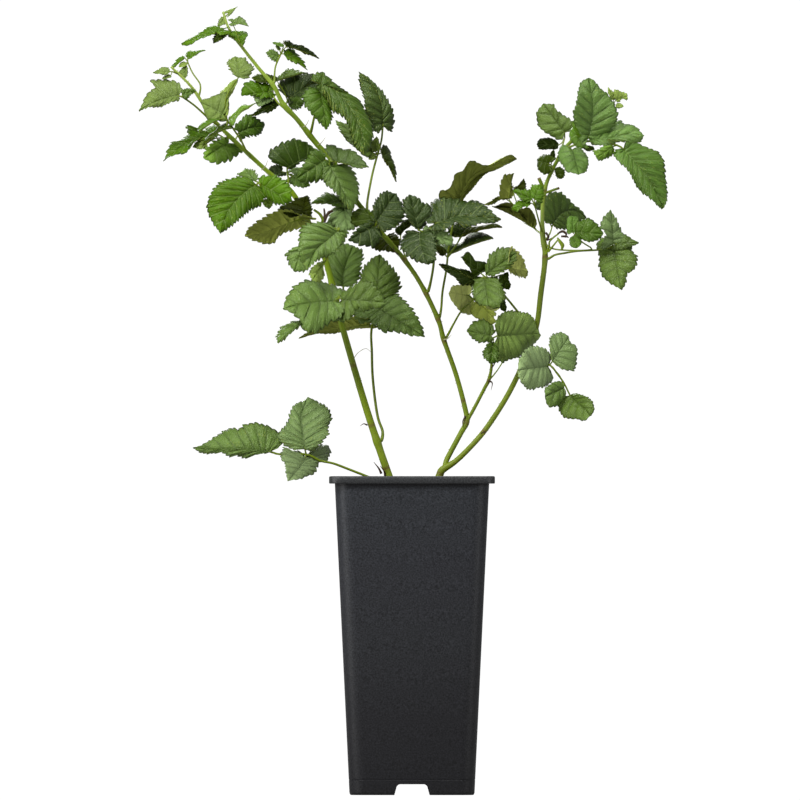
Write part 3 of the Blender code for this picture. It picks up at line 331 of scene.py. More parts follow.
# How any other blade departs from a plain oval: where it is widest, how slender its ends are, how much of it lies
# on the right of the midrib, how far the midrib bows to the right, how far its base lobes reach back, and how big
# the teeth are.
Form = namedtuple("Form", "wide sharp skew bend heart teeth", defaults=(0.4, 1.6, 0, 0, 0.1, 1))
FORMS = {
    "leaf_low_left": (
        Outline(((-106, 273), (-105, 281), (-111, 288), (-121, 291), (-130, 290), (-136, 286.5), (-143, 287.5),
             (-151, 283), (-158, 278), (-165, 273.5)),
            ((-118, 268), (-126, 267), (-132, 264.5), (-137, 266.5), (-144, 265.5), (-149, 268.5), (-156, 268),
             (-165, 268.5)), ((-125, 270.5), (-140, 271), (-155, 270.5)), 0.7),
        Outline(((-78, 272), (-71, 277), (-66, 281), (-66, 288), (-63.5, 294), (-66, 301), (-71, 306), (-77, 310)),
            ((-90, 272), (-98, 275), (-104, 277.5), (-105, 281), (-100, 287.5), (-97, 293), (-95, 300), (-91, 305.5),
             (-86, 308)), ((-86, 284), (-87, 297)), 0.8),
        Outline(((-88, 269), (-95, 269.5), (-101, 271), (-103, 264), (-100, 260), (-99.5, 252)),
            ((-79, 270), (-74, 274), (-66, 275), (-64, 270), (-67, 263), (-74, 259.5), (-76, 253), (-83, 249.5),
             (-90, 246.5)), ((-87, 258),), 0.8),
    ),
    "leaf_front": (
        Outline(((-53, 391), (-58, 397), (-66, 401), (-76, 403.5), (-87, 401), (-94, 396), (-99, 388)),
            ((-50, 380), (-55, 372), (-64, 371), (-73, 364), (-83, 363), (-86, 369), (-90, 374), (-95, 378)),
            ((-74, 386), (-88, 384))),
        Outline(((-60, 380), (-55, 372), (-48, 373), (-45, 379), (-41, 381), (-36, 379), (-31, 382.5), (-26, 381)),
            ((-60, 391), (-53, 395), (-47, 398), (-39, 402), (-30, 400), (-24, 393))),
        Outline(((-72, 384), (-84, 378), (-88, 371), (-85, 366)), ((-54, 380), (-56, 374), (-64, 372), (-75, 365))),
        Outline(((-91, 371), (-97, 368.5), (-103, 366), (-106, 361), (-105.5, 357)),
            ((-90, 366), (-95, 361.5), (-101, 356.5))),
    ),
    "leaf_behind": (
        Outline(((-43, 403), (-40, 415), (-39, 426)), ((-63, 404), (-67, 415), (-65, 427), (-54, 433)), ((-53, 412),)),
    ),
    "leaf_inner": (
        Outline(((-16, 392), (-10, 397), (-11, 407), (-17, 415)), ((-38, 392), (-40, 402), (-39, 412), (-31, 421))),
        Outline(((-44, 382), (-46, 376), (-41, 370), (-33, 370), (-28, 367), (-23, 363), (-12, 363), (0, 360)),
            ((-25, 392), (-14, 393), (-5, 385), (3, 375), (8, 366))),
        Outline(((-30, 372), (-45, 374), (-60, 373), (-75, 367)), ((-29, 366), (-45, 362.5), (-60, 361), (-75, 360))),
    ),
    "leaf_mid_front": (
        Outline(((-62, 442), (-69, 446), (-78, 447), (-86, 445), (-88, 439), (-89, 431), (-88, 421)),
            ((-52, 440), (-53, 435), (-58, 428), (-64, 423), (-72, 420), (-79, 415)), ((-66, 435), (-76, 426))),
        Outline(((-92, 428), (-98, 424), (-96, 416)), ((-82, 424), (-83, 412))),
        Outline(((-76, 415), (-80, 409)), ((-71, 414), (-69, 406), (-73, 402))),
    ),
    "leaf_olive_left": (
        Outline(((-78, 451), (-90, 456), (-98, 458), (-107, 456), (-120, 450), (-128, 444)),
            ((-80, 447), (-90, 443), (-103, 439), (-109, 433), (-115, 432), (-124, 434)), ((-100, 447), (-115, 441))),
        Outline(((-79, 455), (-80, 464), (-81, 469)), ((-95, 453), (-104, 460), (-95, 463), (-91, 467), (-86, 469))),
    ),
    "leaf_bright_left": (
        Outline(((-133, 483), (-147, 481), (-156, 473), (-160, 461), (-156, 450)),
            ((-117, 468), (-119, 462), (-126, 459), (-133, 453), (-141, 446)), ((-128, 474), (-138, 465), (-145, 455))),
        Outline(((-117, 472), (-112, 467), (-106, 463), (-100, 463)),
            ((-119, 483), (-110, 485), (-103, 483), (-96, 477))),
        Form(),
        Outline(((-121, 484), (-124, 489), (-127, 490)), ((-136, 486), (-134, 489))),
    ),
    "leaf_left_dark": (
        Outline(((-93, 492), (-88, 497), (-81, 501)),
            ((-104, 495), (-111, 500), (-111, 505), (-102, 511), (-92, 514), (-82, 511))),
        Outline(((-103, 494), (-108, 494), (-112, 492)), ((-99, 487), (-104, 485.5), (-110, 488))),
        Outline(((-88, 485), (-87, 489)), ((-97, 489), (-92, 492))),
        Outline(((-98, 482), (-93, 478), (-86, 476)), ((-97, 487), (-88, 485), (-82, 481))),
    ),
    "leaf_mid_top": (
        Outline(((-69, 502), (-76, 506), (-81, 502), (-84, 496), (-89, 489)),
            ((-63, 495), (-66, 488), (-70, 483), (-77, 481), (-85, 480))),
        Outline(((-69, 489), (-69, 481), (-61, 472), (-53, 463)),
            ((-58, 490), (-53, 494), (-48, 491), (-43, 481), (-43, 469))),
        Outline(((-58, 497), (-51, 494), (-44, 491)),
            ((-66, 503), (-67, 508), (-64, 509), (-54, 505), (-46, 503), (-38, 497))),
    ),
    "leaf_mid_small": (
        Outline(((-54, 466), (-58, 469), (-67, 472), (-73, 469)), ((-52, 461), (-60, 461), (-68, 463.5))),
        Outline(((-62, 460), (-65, 452), (-61, 446), (-55, 442)), ((-47, 458), (-44, 450), (-45, 444))),
    ),
    "leaf_hanging": (
        Outline(((-80, 553), (-85, 549), (-84, 541), (-77, 532), (-72, 527)), ((-66, 547), (-64, 539), (-63, 531))),
        Outline(((-73, 551), (-66, 545), (-62, 537), (-55, 531), (-50, 522), (-45, 511)),
            ((-78, 560), (-72, 564), (-66, 562), (-57, 554.5), (-48, 547), (-40, 544.5), (-36, 534), (-32, 522),
             (-33, 509)), ((-62, 553), (-52, 541), (-43, 524))),
    ),
    "leaf_dark_top": (
        Outline(((-95, 543), (-88, 545), (-80, 548), (-68, 548), (-58, 548)),
            ((-99, 549), (-103, 558), (-97, 563), (-88, 564), (-79, 565), (-67, 563.5), (-58, 556)),
            ((-90, 551), (-80, 558), (-68, 558))),
        Outline(((-100, 563), (-94, 565), (-88, 567)), ((-103, 567), (-97, 570), (-91, 570))),
        Outline(((-94, 539), (-89, 539)), ((-95, 547), (-88, 548))),
    ),
    "leaf_node_left": (
        Outline(((-107, 555), (-113, 558), (-120, 559), (-126, 560), (-131, 558), (-134, 553)),
            ((-108, 549), (-117, 547), (-124, 549), (-130, 549))),
        Outline(((-109, 552), (-118, 551), (-124, 548)), ((-110, 545), (-115, 542.5), (-120, 540.5))),
        Outline(((-107, 563), (-113, 565.5), (-121, 566)), ((-114, 559), (-121, 559.5))),
        Outline(((-110, 546), (-117, 541)), ((-109, 537), (-117, 534))),
    ),
    "leaf_top_small": (
        Outline(((-106, 583), (-110, 585.5), (-113, 584.5)), ((-107, 576), (-111, 578.5))),
        Outline(((-98, 578), (-95, 576), (-91, 574), (-87, 574)), ((-99, 584.5), (-94, 585), (-90, 581), (-87, 577))),
        Outline(((-96, 586), (-90, 585), (-82, 581)),
            ((-100, 591), (-97, 593.5), (-94, 589), (-86, 587.5), (-79, 584))),
    ),
    "leaf_tip_long": (
        Outline(((-143, 602), (-149, 602), (-153, 604), (-158, 602.5), (-164, 598.5), (-173, 594)),
            ((-142, 597), (-149, 596.5), (-154, 598), (-160, 594), (-167, 591.5), (-175, 588.5))),
        Outline(((-152, 599), (-156, 594)), ((-146, 596), (-151, 592))),
    ),
    "leaf_tip_right": (
        Outline(((-133, 589), (-131, 593), (-129, 597), (-132, 600)), ((-138, 592), (-146, 598), (-141, 600)), (), 0.5),
        Outline(((-143, 604), (-138, 604), (-134, 606)), ((-144, 608), (-140, 608.5), (-136, 610.5), (-132, 608))),
    ),
    "leaf_tip_bud": (
        Outline(((-145, 611), (-142, 613.5), (-139, 617)), ((-149.5, 614), (-144, 616.5)), (), 0.5),
        Outline(((-150, 610.5), (-152, 607)), ((-146, 606), (-150, 604))),
    ),
    "leaf_end_arc": (
        Outline(((-173, 577.5), (-168, 581)), ((-177, 582), (-170, 583.5))),
        Outline(((-181, 579.5), (-185, 576), (-188, 572)), ((-180, 576), (-184, 573.5))),
        Form(),
        Outline(((-181, 569), (-183, 566), (-180, 563.5)), ((-176, 569), (-176.5, 564))),
    ),
    "leaf_end_left": (
        Outline(((-192, 570.5), (-197, 569.5)), ((-193, 564.5), (-198, 565))),
    ),
    "leaf_far_left": (
        Outline(((-181, 551), (-184, 556), (-188, 559.5), (-196, 560.5), (-204, 559), (-201, 553), (-207, 549),
             (-211, 542)), ((-184, 544), (-190, 541.5), (-197, 539), (-207, 538)), ((-190, 546), (-202, 542)), 0.8),
        Outline(((-177, 545), (-174, 548)), ((-180, 552), (-176, 553.5), (-172, 553))),
    ),
    "leaf_bright_center": (
        Outline(((-144, 534), (-143, 541), (-141, 549), (-136, 557)), ((-151, 538), (-149, 550), (-144, 557.5)),
            ((-146, 542), (-144, 550)), 0.3),
        Outline(((-144.5, 538), (-145, 550), (-152, 549), (-160, 546), (-164, 545.5)),
            ((-146, 529), (-153, 528.5), (-160, 529), (-162.5, 536), (-164, 540)), ((-156, 538),), 0.3),
        Outline(((-140, 524.5), (-137, 529.5), (-133, 535), (-128, 538)),
            ((-142, 532), (-137, 536), (-132, 540), (-127, 540)), (), 0.3),
        Outline(((-131, 562), (-126, 566), (-124.5, 570.5), (-129, 574.5), (-131, 577)),
            ((-140, 566), (-143, 570), (-145, 575), (-141, 577.5))),
        Outline(((-154, 530), (-160, 529), (-165, 525), (-168, 522)), ((-152, 528), (-158, 527), (-163, 522)), (), 0.3),
        Outline(((-145, 527), (-150, 524), (-155, 519), (-160, 516)),
            ((-141, 523), (-147, 520.5), (-154, 516), (-160, 511)), (), 0.5),
    ),
    "leaf_lobed_left": (
        Outline(((-158, 525), (-165, 520), (-171, 521), (-175.5, 523), (-176, 518), (-182, 512), (-187, 510),
             (-191, 504)), ((-157, 512), (-165, 513), (-171, 511), (-176, 503), (-182, 502), (-189, 499)),
            ((-165, 516), (-180, 508))),
        Outline(((-145, 515), (-152, 514), (-159, 509), (-163, 503)),
            ((-137, 509), (-135, 504), (-140, 500), (-148, 496), (-157, 495.5)), ((-152, 507),)),
    ),
    "leaf_dark_left": (
        Outline(((-134, 514), (-130, 517), (-122, 518), (-118, 521)),
            ((-139, 524), (-133, 531), (-130, 534), (-124, 532), (-120, 529), (-116, 527.5)), ((-126, 524),)),
    ),
    "leaf_tall": (
        Outline(((-18, 523), (-15, 527), (-15, 534), (-20, 545), (-24, 553), (-33, 561)),
            ((-28, 522), (-32, 526), (-37, 537), (-39, 550), (-41, 560)), ((-24, 537), (-29, 552))),
        Outline(((-36, 510), (-46, 522), (-54, 528)), ((-38, 502), (-46, 509), (-55, 519), (-59, 525))),
        Outline(((-23, 500), (-19, 494), (-15, 487)), ((-24, 507), (-20, 510), (-16.5, 506), (-15, 497), (-12.5, 489))),
        Outline(((-25.5, 508), (-25.5, 512), (-27, 516)), ((-33, 506), (-33, 511), (-30, 515))),
    ),
    "leaf_round": (
        Outline(((-22, 443), (-13, 445), (-7, 453), (-8, 463)), ((-31, 453), (-30, 463), (-24, 471), (-18, 473))),
        Outline(((-30, 449), (-38, 448), (-45, 441)), ((-25, 440), (-28, 431), (-38, 430.5), (-45, 433))),
        Outline(((-28, 452), (-32, 457), (-36, 459)), ((-36, 446), (-45, 446), (-47, 453), (-43, 459))),
    ),
    "leaf_round_behind": (
        Outline(((-28, 435), (-29, 428), (-20, 426)), ((-14, 440), (-9, 434))),
    ),
    "leaf_blue": (
        Outline(((8, 446), (12, 452), (15, 461), (9, 464), (3, 469)), ((1, 447), (-5, 455), (-7, 465))),
        Outline(((-3, 441), (-9, 434), (-8, 428), (-4, 423), (3, 419)), ((12, 442), (18, 437), (19, 428), (18, 419)),
            ((7, 430),)),
        Outline(((18, 444), (27, 442.5), (31, 445), (35, 449), (39, 447.5), (44, 444.5), (53, 446), (62, 448)),
            ((14, 447), (12.5, 454), (16, 464), (23, 466), (34, 466), (43, 465), (50, 466), (57, 461), (64, 455)),
            ((26, 450), (36, 453.5), (52, 452.5))),
        Outline(((14, 436), (19, 432), (25, 431.5), (31, 431)), ((9, 443), (14, 446), (21, 445), (27, 441), (32, 437))),
    ),
    "leaf_olive_top": (
        Outline(((42, 466), (46, 473), (52, 481.5), (59, 487), (68, 489.5), (76, 495)),
            ((24, 468), (21.5, 475.5), (26, 475), (30, 476.5), (33, 481), (35, 486), (41, 488), (45, 494.5),
             (49, 496.5), (55, 494), (62, 494.5), (70, 500), (77, 503.5)), ((40, 474), (52, 487)), 0.3),
        Outline(((33, 426), (38, 428.5), (45, 430.5), (50, 434), (57, 436)),
            ((24, 426), (20, 430), (27, 432), (36, 432), (41, 435), (45, 440), (51, 441), (58, 439.5)), (), 0.4),
        Outline(((47, 441), (54, 443.5), (62, 445)), ((45, 444.5), (54, 447), (64, 448.5)), (), 0.4),
        Outline(((44, 440), (48, 443), (43, 448)), ((30, 439.5), (29, 443), (33, 449)), (), 0.5),
    ),
    "leaf_node_small": (
        Outline(((-7, 442), (-3, 445), (0, 448)), ((-13, 443), (-9, 447), (-7, 451)), (), 0.4),
    ),
    "leaf_fold_left": (
        Outline(((96, 451), (91, 459), (84, 459), (74, 463)), ((91, 448), (85, 455), (77, 458.5), (70, 461)), (), 0.3),
        Outline(((80, 472), (78.5, 480), (78.5, 485)), ((69, 469), (70, 478), (73, 486))),
        Outline(((67, 468.5), (62, 465.5)), ((67, 465.5), (62, 462.5))),
        Outline(((84, 473), (89, 475), (89.5, 479)), ((81, 477), (85, 479))),
    ),
    "leaf_small_bright": (
        Outline(((91, 473.5), (86, 474), (81, 475)), ((90, 465), (85, 467), (82, 471))),
        Outline(((90, 466), (85, 466), (81, 464)), ((90, 461), (86, 461.5), (83, 458))),
        Outline(((101, 465), (103, 470), (103, 476)), ((91, 470), (93, 475), (95, 478.5))),
    ),
    "leaf_dark_right": (
        Outline(((117, 444.5), (126, 445), (133, 449)),
            ((106, 450), (104, 458), (105, 469), (110, 473), (117, 472), (122, 468.5), (128, 463), (134, 458)),
            ((117, 457), (128, 459))),
    ),
    "leaf_long_stalk": (
        Outline(((157, 427), (166, 428), (172, 430), (176, 431.5)), ((156, 437), (165, 440), (172, 436.5)), (), 0.7),
        Outline(((165, 430), (168, 436), (165, 441), (162, 447), (159, 453)),
            ((149, 430), (152, 439), (148, 446), (150, 452), (153, 456)), (), 0.7),
        Outline(((150, 437), (145, 431), (147, 424), (147, 415), (150, 407), (156, 401.5)),
            ((168, 434), (173, 427), (176.5, 421), (174, 412), (169, 409), (167, 401)), (), 0.7),
    ),
    "leaf_side": (
        Outline(((130, 438), (136, 434.5), (142, 434), (148, 437)), ((129, 447), (135, 451.5), (141, 451), (147, 445)),
            (), 0.5),
        Outline(((130, 442), (131, 449), (129.5, 453.5)), ((122, 441), (121.5, 451), (124, 454)), (), 0.4),
        Form(0.55, 1.3, 0, 0, 0.1, 0.5),
    ),
    "leaf_top_right": (
        Outline(((142, 511), (150, 516), (158, 525), (160, 533), (158, 541), (153, 549), (147, 554), (142, 560)),
            ((134, 511), (129, 522), (126, 533), (128, 541), (130, 551), (133, 559)), ((141, 530), (141, 544)), 0.6),
        Outline(((150, 508.5), (160, 511.5), (172, 511), (179, 513)),
            ((149, 520), (158, 527), (163, 530), (167, 526), (175, 524), (180, 520)), ((155, 514), (168, 517)), 0.7),
        Outline(((137, 517), (131, 522), (126, 524)), ((138, 508), (130, 508), (125, 513), (123, 518)), (), 0.5),
        Outline(((138, 519), (134, 527)), ((129, 517), (126, 525)), (), 0.5),
        Outline(((133, 508), (138, 504.5), (142, 505.5)), ((136, 509), (142, 508)), (), 0.4),
    ),
    "leaf_right_end": (
        Outline(((162, 504), (161, 498), (165, 492), (171, 484), (178, 474), (184, 468), (192, 462)),
            ((170, 512), (180, 510), (191, 505), (195, 498), (197, 488), (200, 474), (199, 465)),
            ((172, 499), (183, 484), (191, 471))),
        Outline(((154, 512), (148, 507), (143, 505)), ((158, 503), (153, 500), (147, 498))),
    ),
    "leaf_upper_left": (
        Outline(((128, 525), (123, 531), (114, 537), (111, 542)), ((117, 515.5), (108, 518.5), (100, 525), (98.5, 535)),
            (), 0.6),
        Outline(((114, 512), (108, 516), (100, 514.5)), ((113, 507.5), (106, 506.5), (100, 507.5)), (), 0.5),
    ),
    "leaf_center_right": (
        Outline(((118, 509), (114.5, 500), (119, 493), (121, 488.5), (126, 487)), ((132, 507), (138, 498), (136, 489)),
            (), 0.5),
    ),
    "leaf_small_right": (
        Outline(((112, 499), (105, 502), (100, 500.5)), ((110, 490), (104, 487), (99, 492)), (), 0.6),
        Form(),
        Outline(((112.5, 488), (114, 484)), ((116, 492), (119.5, 489), (119, 484.5))),
    ),
    "leaf_tip_spike": (
        Outline(((162, 543.5), (165, 546.5), (169, 545.5)), ((159, 549), (159, 553), (164, 551.5), (169, 550))),
    ),
    "leaf_fan": (
        Outline(((48, 407), (42, 411), (36, 412.5), (28, 415)), ((39, 399), (34, 404), (27, 410.5)), (), 0.7),
        Outline(((66, 408), (74, 412), (81, 419)), ((60, 420), (64, 425), (71, 429), (77, 428))),
        Outline(((48, 405), (47, 398), (48, 391), (51.5, 386), (56, 384)),
            ((67, 405), (71, 398), (73, 391), (69, 384), (64, 382)), (), 0.6),
        Outline(((60, 414), (57, 417.5), (50, 419), (47, 423), (43, 426), (40, 423)), ((48, 407), (45, 413), (41, 418)),
            (), 0.3),
        Outline(((80, 409), (89, 406), (91, 409)), ((77, 420), (78, 429), (83, 427), (88, 420))),
        Outline(((68, 405), (69, 400), (72, 397)), ((75, 409), (75.5, 404), (77, 399)), (), 0.5),
    ),
    "leaf_under_left": (
        Outline(((50, 400), (43, 400.5), (36, 399.5), (31, 398)),
            ((53, 381), (47, 377), (41, 378.5), (36, 383), (31, 388.5)), (), 0.5),
        Outline(((46, 381), (47, 376.5), (51, 373), (57, 370.5), (62, 369)),
            ((56, 385), (61, 378), (66, 377.5), (64, 374)), (), 0.5),
        Outline(((50, 383.5), (54, 380), (57.5, 377.5), (62, 378), (66, 380)), ((54, 392), (62, 390), (68, 386)), (),
            0.4),
        Outline(((66, 386), (70, 381)), ((72, 390), (74, 384)), (), 0.5),
    ),
    "leaf_big_round": (
        Outline(((66, 353), (67, 345), (71, 339.5), (77, 342), (83, 343.5), (88, 348), (94, 352), (99, 357)),
            ((66, 366), (68, 373), (72, 378), (78, 379.5), (84, 378.5), (91, 377), (97, 371), (100, 366)),
            ((80, 361), (92, 362)), 0.6),
        Outline(((64, 363), (61, 369.5), (55, 372.5), (49, 371), (45, 367)),
            ((63.5, 357.5), (59, 355.5), (53, 355), (47, 358.5)), (), 0.8),
        Outline(((59, 352), (55.5, 346), (57.5, 341.5)), ((66, 352), (67.5, 345), (66.5, 339.5)), (), 0.8),
    ),
    "leaf_low_right": (
        Outline(((118, 310), (115.5, 304), (118, 297.5), (122, 295), (129, 294.5), (136, 293)),
            ((128, 314), (134, 312.5), (141, 308.5), (142.5, 302)), ((130, 307), (136, 302)), 0.5),
        Outline(((109, 343), (105, 348.5), (100, 351), (94, 351.5), (88, 348), (85, 342)),
            ((108, 331), (110, 325), (105, 320.5), (99, 319.5), (93, 318), (87, 321), (84, 327)), (), 0.8),
        Outline(((114, 337), (122, 333), (127.5, 334), (129, 344), (128.5, 351), (124.5, 354)),
            ((109.5, 345), (107.5, 354), (110, 360.5), (117, 362.5)), (), 0.7),
        Outline(((118, 322.5), (113, 324), (108, 321.5), (104, 317.5)),
            ((120, 314), (116, 307), (112, 304.5), (107, 305)), (), 0.5),
    ),
}

# The colour of each leaf's upper side, as the colours of its leaflets in order. One name does for all of them.
# The colours were set leaflet by leaflet to how light falls on each, so they carry painted light: the near-black ones
# (night, dark, shadow) are painted shade for leaflets that lie in shade, and the greyish ones (grey, silver, mist) are
# paled by a painted sheen.
TONES = {
    "leaf_low_left": "grey silver mist", "leaf_inner": "moss grey olive", "leaf_front": "grey moss grey grey",
    "leaf_behind": "grey", "leaf_mid_front": "grey grey light", "leaf_olive_left": "olive brown",
    "leaf_bright_left": "bright bright dark grey", "leaf_left_dark": "deep blue silver deep",
    "leaf_mid_top": "deep grey shadow", "leaf_mid_small": "deep silver silver", "leaf_hanging": "mid deep",
    "leaf_dark_top": "blue moss deep", "leaf_node_left": "bright silver dark night",
    "leaf_top_small": "grey bright night mid pale", "leaf_tip_long": "bright dark", "leaf_tip_right": "bright grey",
    "leaf_tip_bud": "pale", "leaf_end_arc": "bright bright light pale", "leaf_end_left": "pale",
    "leaf_far_left": "pale deep", "leaf_bright_center": "light pale fresh pale mid dark",
    "leaf_lobed_left": "bright fresh light", "leaf_dark_left": "mid", "leaf_tall": "shadow moss dark light light",
    "leaf_round": "slate slate dark", "leaf_round_behind": "brown", "leaf_blue": "blue blue blue silver",
    "leaf_node_small": "night", "leaf_olive_top": "olive shadow brown night brown",
    "leaf_fold_left": "brown olive olive brown", "leaf_small_bright": "bright", "leaf_dark_right": "shadow shadow",
    "leaf_long_stalk": "moss silver moss", "leaf_side": "mid clear mid", "leaf_top_right": "sage sage mid bright night",
    "leaf_right_end": "clear fresh", "leaf_upper_left": "moss night", "leaf_center_right": "sage",
    "leaf_small_right": "dark night dark", "leaf_tip_spike": "light", "leaf_fan": "night moss moss night hay night",
    "leaf_under_left": "straw olive straw night", "leaf_big_round": "grass moss deep", "leaf_shoot_back": "mist",
    "leaf_low_right": "moss mist silver grey",
}
# Each colour with how much paler the veins are, or below nought how much painted shade darkens the sunken veins, and
# the gloss.
LEAF_GREENS_LIT_AND_SHADED = {
    "light": ((130, 152, 68), 0.4, 0.26), "pale": ((100, 120, 54), 0.45, 0.26), "fresh": ((98, 132, 40), 0.45, 0.25),
    "clear": ((84, 118, 40), 0.35, 0.3), "sage": ((87, 117, 50), -0.42, 0.36), "slate": ((29, 45, 6), 0.3, 0.3),
    "hay": ((188, 198, 114), -0.35, 0.12), "grass": ((121, 147, 70), -0.35, 0.3), "bright": ((66, 99, 2), 0.5, 0.2),
    "mid": ((70, 101, 20), 0.45, 0.34), "deep": ((55, 80, 10), 0.5, 0.36), "blue": ((34, 51, 10), 0.3, 0.38),
    "dark": ((44, 60, 0), 0.3, 0.13), "night": ((22, 34, 0), 0.15, 0.04), "mist": ((128, 150, 98), -0.4, 0.4),
    "silver": ((106, 130, 74), -0.42, 0.42), "grey": ((86, 111, 46), -0.4, 0.42), "moss": ((76, 98, 34), -0.3, 0.35),
    "shadow": ((58, 78, 26), -0.3, 0.35), "straw": ((226, 236, 152), -0.3, 0.12),
    "olive": ((140, 152, 66), -0.35, 0.12), "brown": ((35, 42, 0), -0.3, 0.05),
}
STALK_GREEN, SCAR_BROWN, PRICKLE_STRAW = (104, 122, 16), (92, 62, 34), (150, 140, 70)
# The sheen of the leaves, and how fine the net of their smallest veins is.
LEAF_SHEEN = (0.86, 1, 0.62, 1)
VEIN_NET = 560
# The material numbers of a leaf's parts.
UPPER_SKIN, UNDER_SKIN, STALK_SKIN = range(3)
# The green of each cane at heights. The shoots are like the middle cane.
CANE_GREENS = {
    "cane_left": ((232, (120, 138, 30)), (300, (110, 130, 8)), (340, (100, 120, 4)), (400, (112, 136, 0)),
                  (480, (108, 132, 6)), (520, (118, 144, 36)), (560, (146, 166, 76))),
    "cane_middle": ((232, (120, 138, 24)), (300, (108, 128, 16)), (400, (92, 110, 4)), (480, (90, 112, 2)),
                    (540, (102, 126, 10)), (570, (128, 152, 44)), (620, (146, 166, 82))),
    "cane_right": ((232, (122, 138, 36)), (300, (108, 126, 16)), (400, (94, 110, 16)), (428, (116, 134, 40)),
                   (450, (134, 154, 62)), (474, (122, 144, 34)), (492, (92, 116, 8)), (545, (122, 146, 40))),
}
DRY, BUD, HAIR = (58, 40, 22), (112, 132, 20), (150, 150, 110)
# Dry hooks, buds and stray hairs on each cane, as (course, radii, colour).
SCRAPS = {
    "cane_left": (
        (((-24, -8, 252), (-26, -9, 256), (-30, -9, 261)), (1.1, 0.7, 0.2), DRY),
        (((-21, -8, 250), (-22, -10, 254), (-25, -11, 258)), (1.0, 0.6, 0.2), DRY),
        (((-35, -9, 290), (-38, -10, 291), (-41, -10, 289)), (0.7, 0.4, 0.1), DRY),
        (((-46, -10, 342), (-42, -11, 347), (-36, -11, 350), (-31, -11, 346)), (0.3, 0.25, 0.2, 0.1), HAIR),
        (((-118, -20, 490), (-115, -21, 493), (-113, -21, 498)), (0.5, 0.3, 0.1), HAIR),
        (((-74, -12, 446), (-70, -12, 450), (-72, -12, 455), (-77, -12, 459)), (1.3, 1.3, 1.2, 0.9), BUD),
        (((-69, -12, 450), (-68.5, -12, 455), (-69, -12, 460)), (1.1, 0.9, 0.7), DRY),
        (((-69, -12, 449), (-67, -12, 454), (-65, -12, 457), (-62, -12, 458)), (1.2, 1.1, 1.3, 0.9), DRY),
    ),
    "cane_middle": (
        (((-74, 18, 510), (-71, 17, 512), (-68, 17, 516)), (0.5, 0.3, 0.1), HAIR),
        (((-86, 20, 524), (-83, 19, 526), (-81, 19, 530)), (0.5, 0.3, 0.1), HAIR),
        (((25, 6, 357), (28, 5, 358), (31, 5, 361)), (0.6, 0.4, 0.1), HAIR),
        (((42, 5, 297), (40, 4, 293), (40, 4, 288)), (0.8, 0.5, 0.1), DRY),
        (((-11, 10, 424), (-14, 9, 427), (-15, 9, 431)), (0.7, 0.4, 0.1), DRY),
    ),
    "shoot_low": (
        (((60, -1, 325), (63, -2, 323), (62, -2, 317)), (0.9, 0.5, 0.1), DRY),
        (((62.5, -3, 335), (65, -4, 339), (64, -4, 345)), (0.7, 0.4, 0.1), DRY),
    ),
    "cane_right": (
        (((53, -1, 281), (55, -2, 284), (58, -2, 285)), (0.6, 0.4, 0.1), DRY),
        (((105, -8, 424), (107.5, -10, 430), (108, -11, 434), (112, -12, 438), (115, -12, 440)),
         (1.0, 0.8, 0.7, 0.7, 0.6), BUD),
        (((107, -10, 426), (111, -13, 431), (115, -14, 436)), (0.9, 0.7, 0.6), BUD),
        (((114, -13, 437), (116, -14, 434), (118, -14, 431), (117.5, -14, 428)), (0.6, 1.4, 1.7, 0.8), BUD),
        (((105, -8, 441), (107, -9, 438), (106, -9, 435), (110, -10, 437)), (0.9, 1.0, 0.6, 0.3), DRY),
        (((114, -12, 440), (118, -12, 442), (121, -12, 440), (120, -12, 437)), (0.6, 1.1, 0.9, 0.4), DRY),
        (((117, -11, 438), (121, -11, 438), (123, -11, 437)), (0.8, 0.9, 0.3), DRY),
    ),
}
# How much a cane swells at a node and along what height, how tall and strong a scar is, and the green share of a stub.
NODE_SWELL, NODE_REACH = 0.16, 3.5
SCAR_REACH, SCAR_STRENGTH = 1.3, 0.75
STUB_GREEN = 0.72
CANE_SIDES = 14
PRICKLE_SHARE, PRICKLE_LENGTH, PRICKLE_RADII = 0.8, (0.6, 1.7), (0.32, 0.16, 0.03)
# Heights of the brown marks on each cane.
SCARS = {
    "cane_left": (238, 256, 290, 337), "cane_right": (252, 285, 422, 474),
    "cane_middle": (292, 309, 356, 373, 393, 420), "shoot_low": (325,),
}


def srgb(colour):
    """A linear colour from 0-255 sRGB values."""
    return np.array([(c / 255 / 12.92) if c < 10 else ((c / 255 + 0.055) / 1.055) ** 2.4 for c in colour])


VEIN_PALE = srgb((150, 176, 96))
UNDER_OLIVE = srgb((150, 158, 72))


def shades(stops, heights):
    """Linear colours at heights, from stops of (height, sRGB colour)."""
    levels, colours = zip(*stops)
    colours = np.array([srgb(colour) for colour in colours])
    return np.stack([np.interp(heights, levels, colours[:, k]) for k in range(3)], axis=1)


def place(points):
    """Points in metres in the row frame, from millimetres about the pot's middle."""
    return np.asarray(points, float) * MM + np.array(CENTRE)


def put(name, data):
    """A new object in the scene."""
    made = bpy.data.objects.new(name, data)
    bpy.context.scene.collection.objects.link(made)
    return made


def dress(piece, node):
    """Set a finished piece in the part, in place of a CAD node."""
    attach(piece, "root")
    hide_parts(node)


def quads(number, closed=False):
    """Faces between the neighbours in a grid of point numbers, whose rows may close into rings."""
    if closed:
        number = np.hstack([number, number[:, :1]])
    corners = (number[:-1, :-1], number[:-1, 1:], number[1:, 1:], number[1:, :-1])
    return np.stack([corner.ravel() for corner in corners], axis=1).tolist()


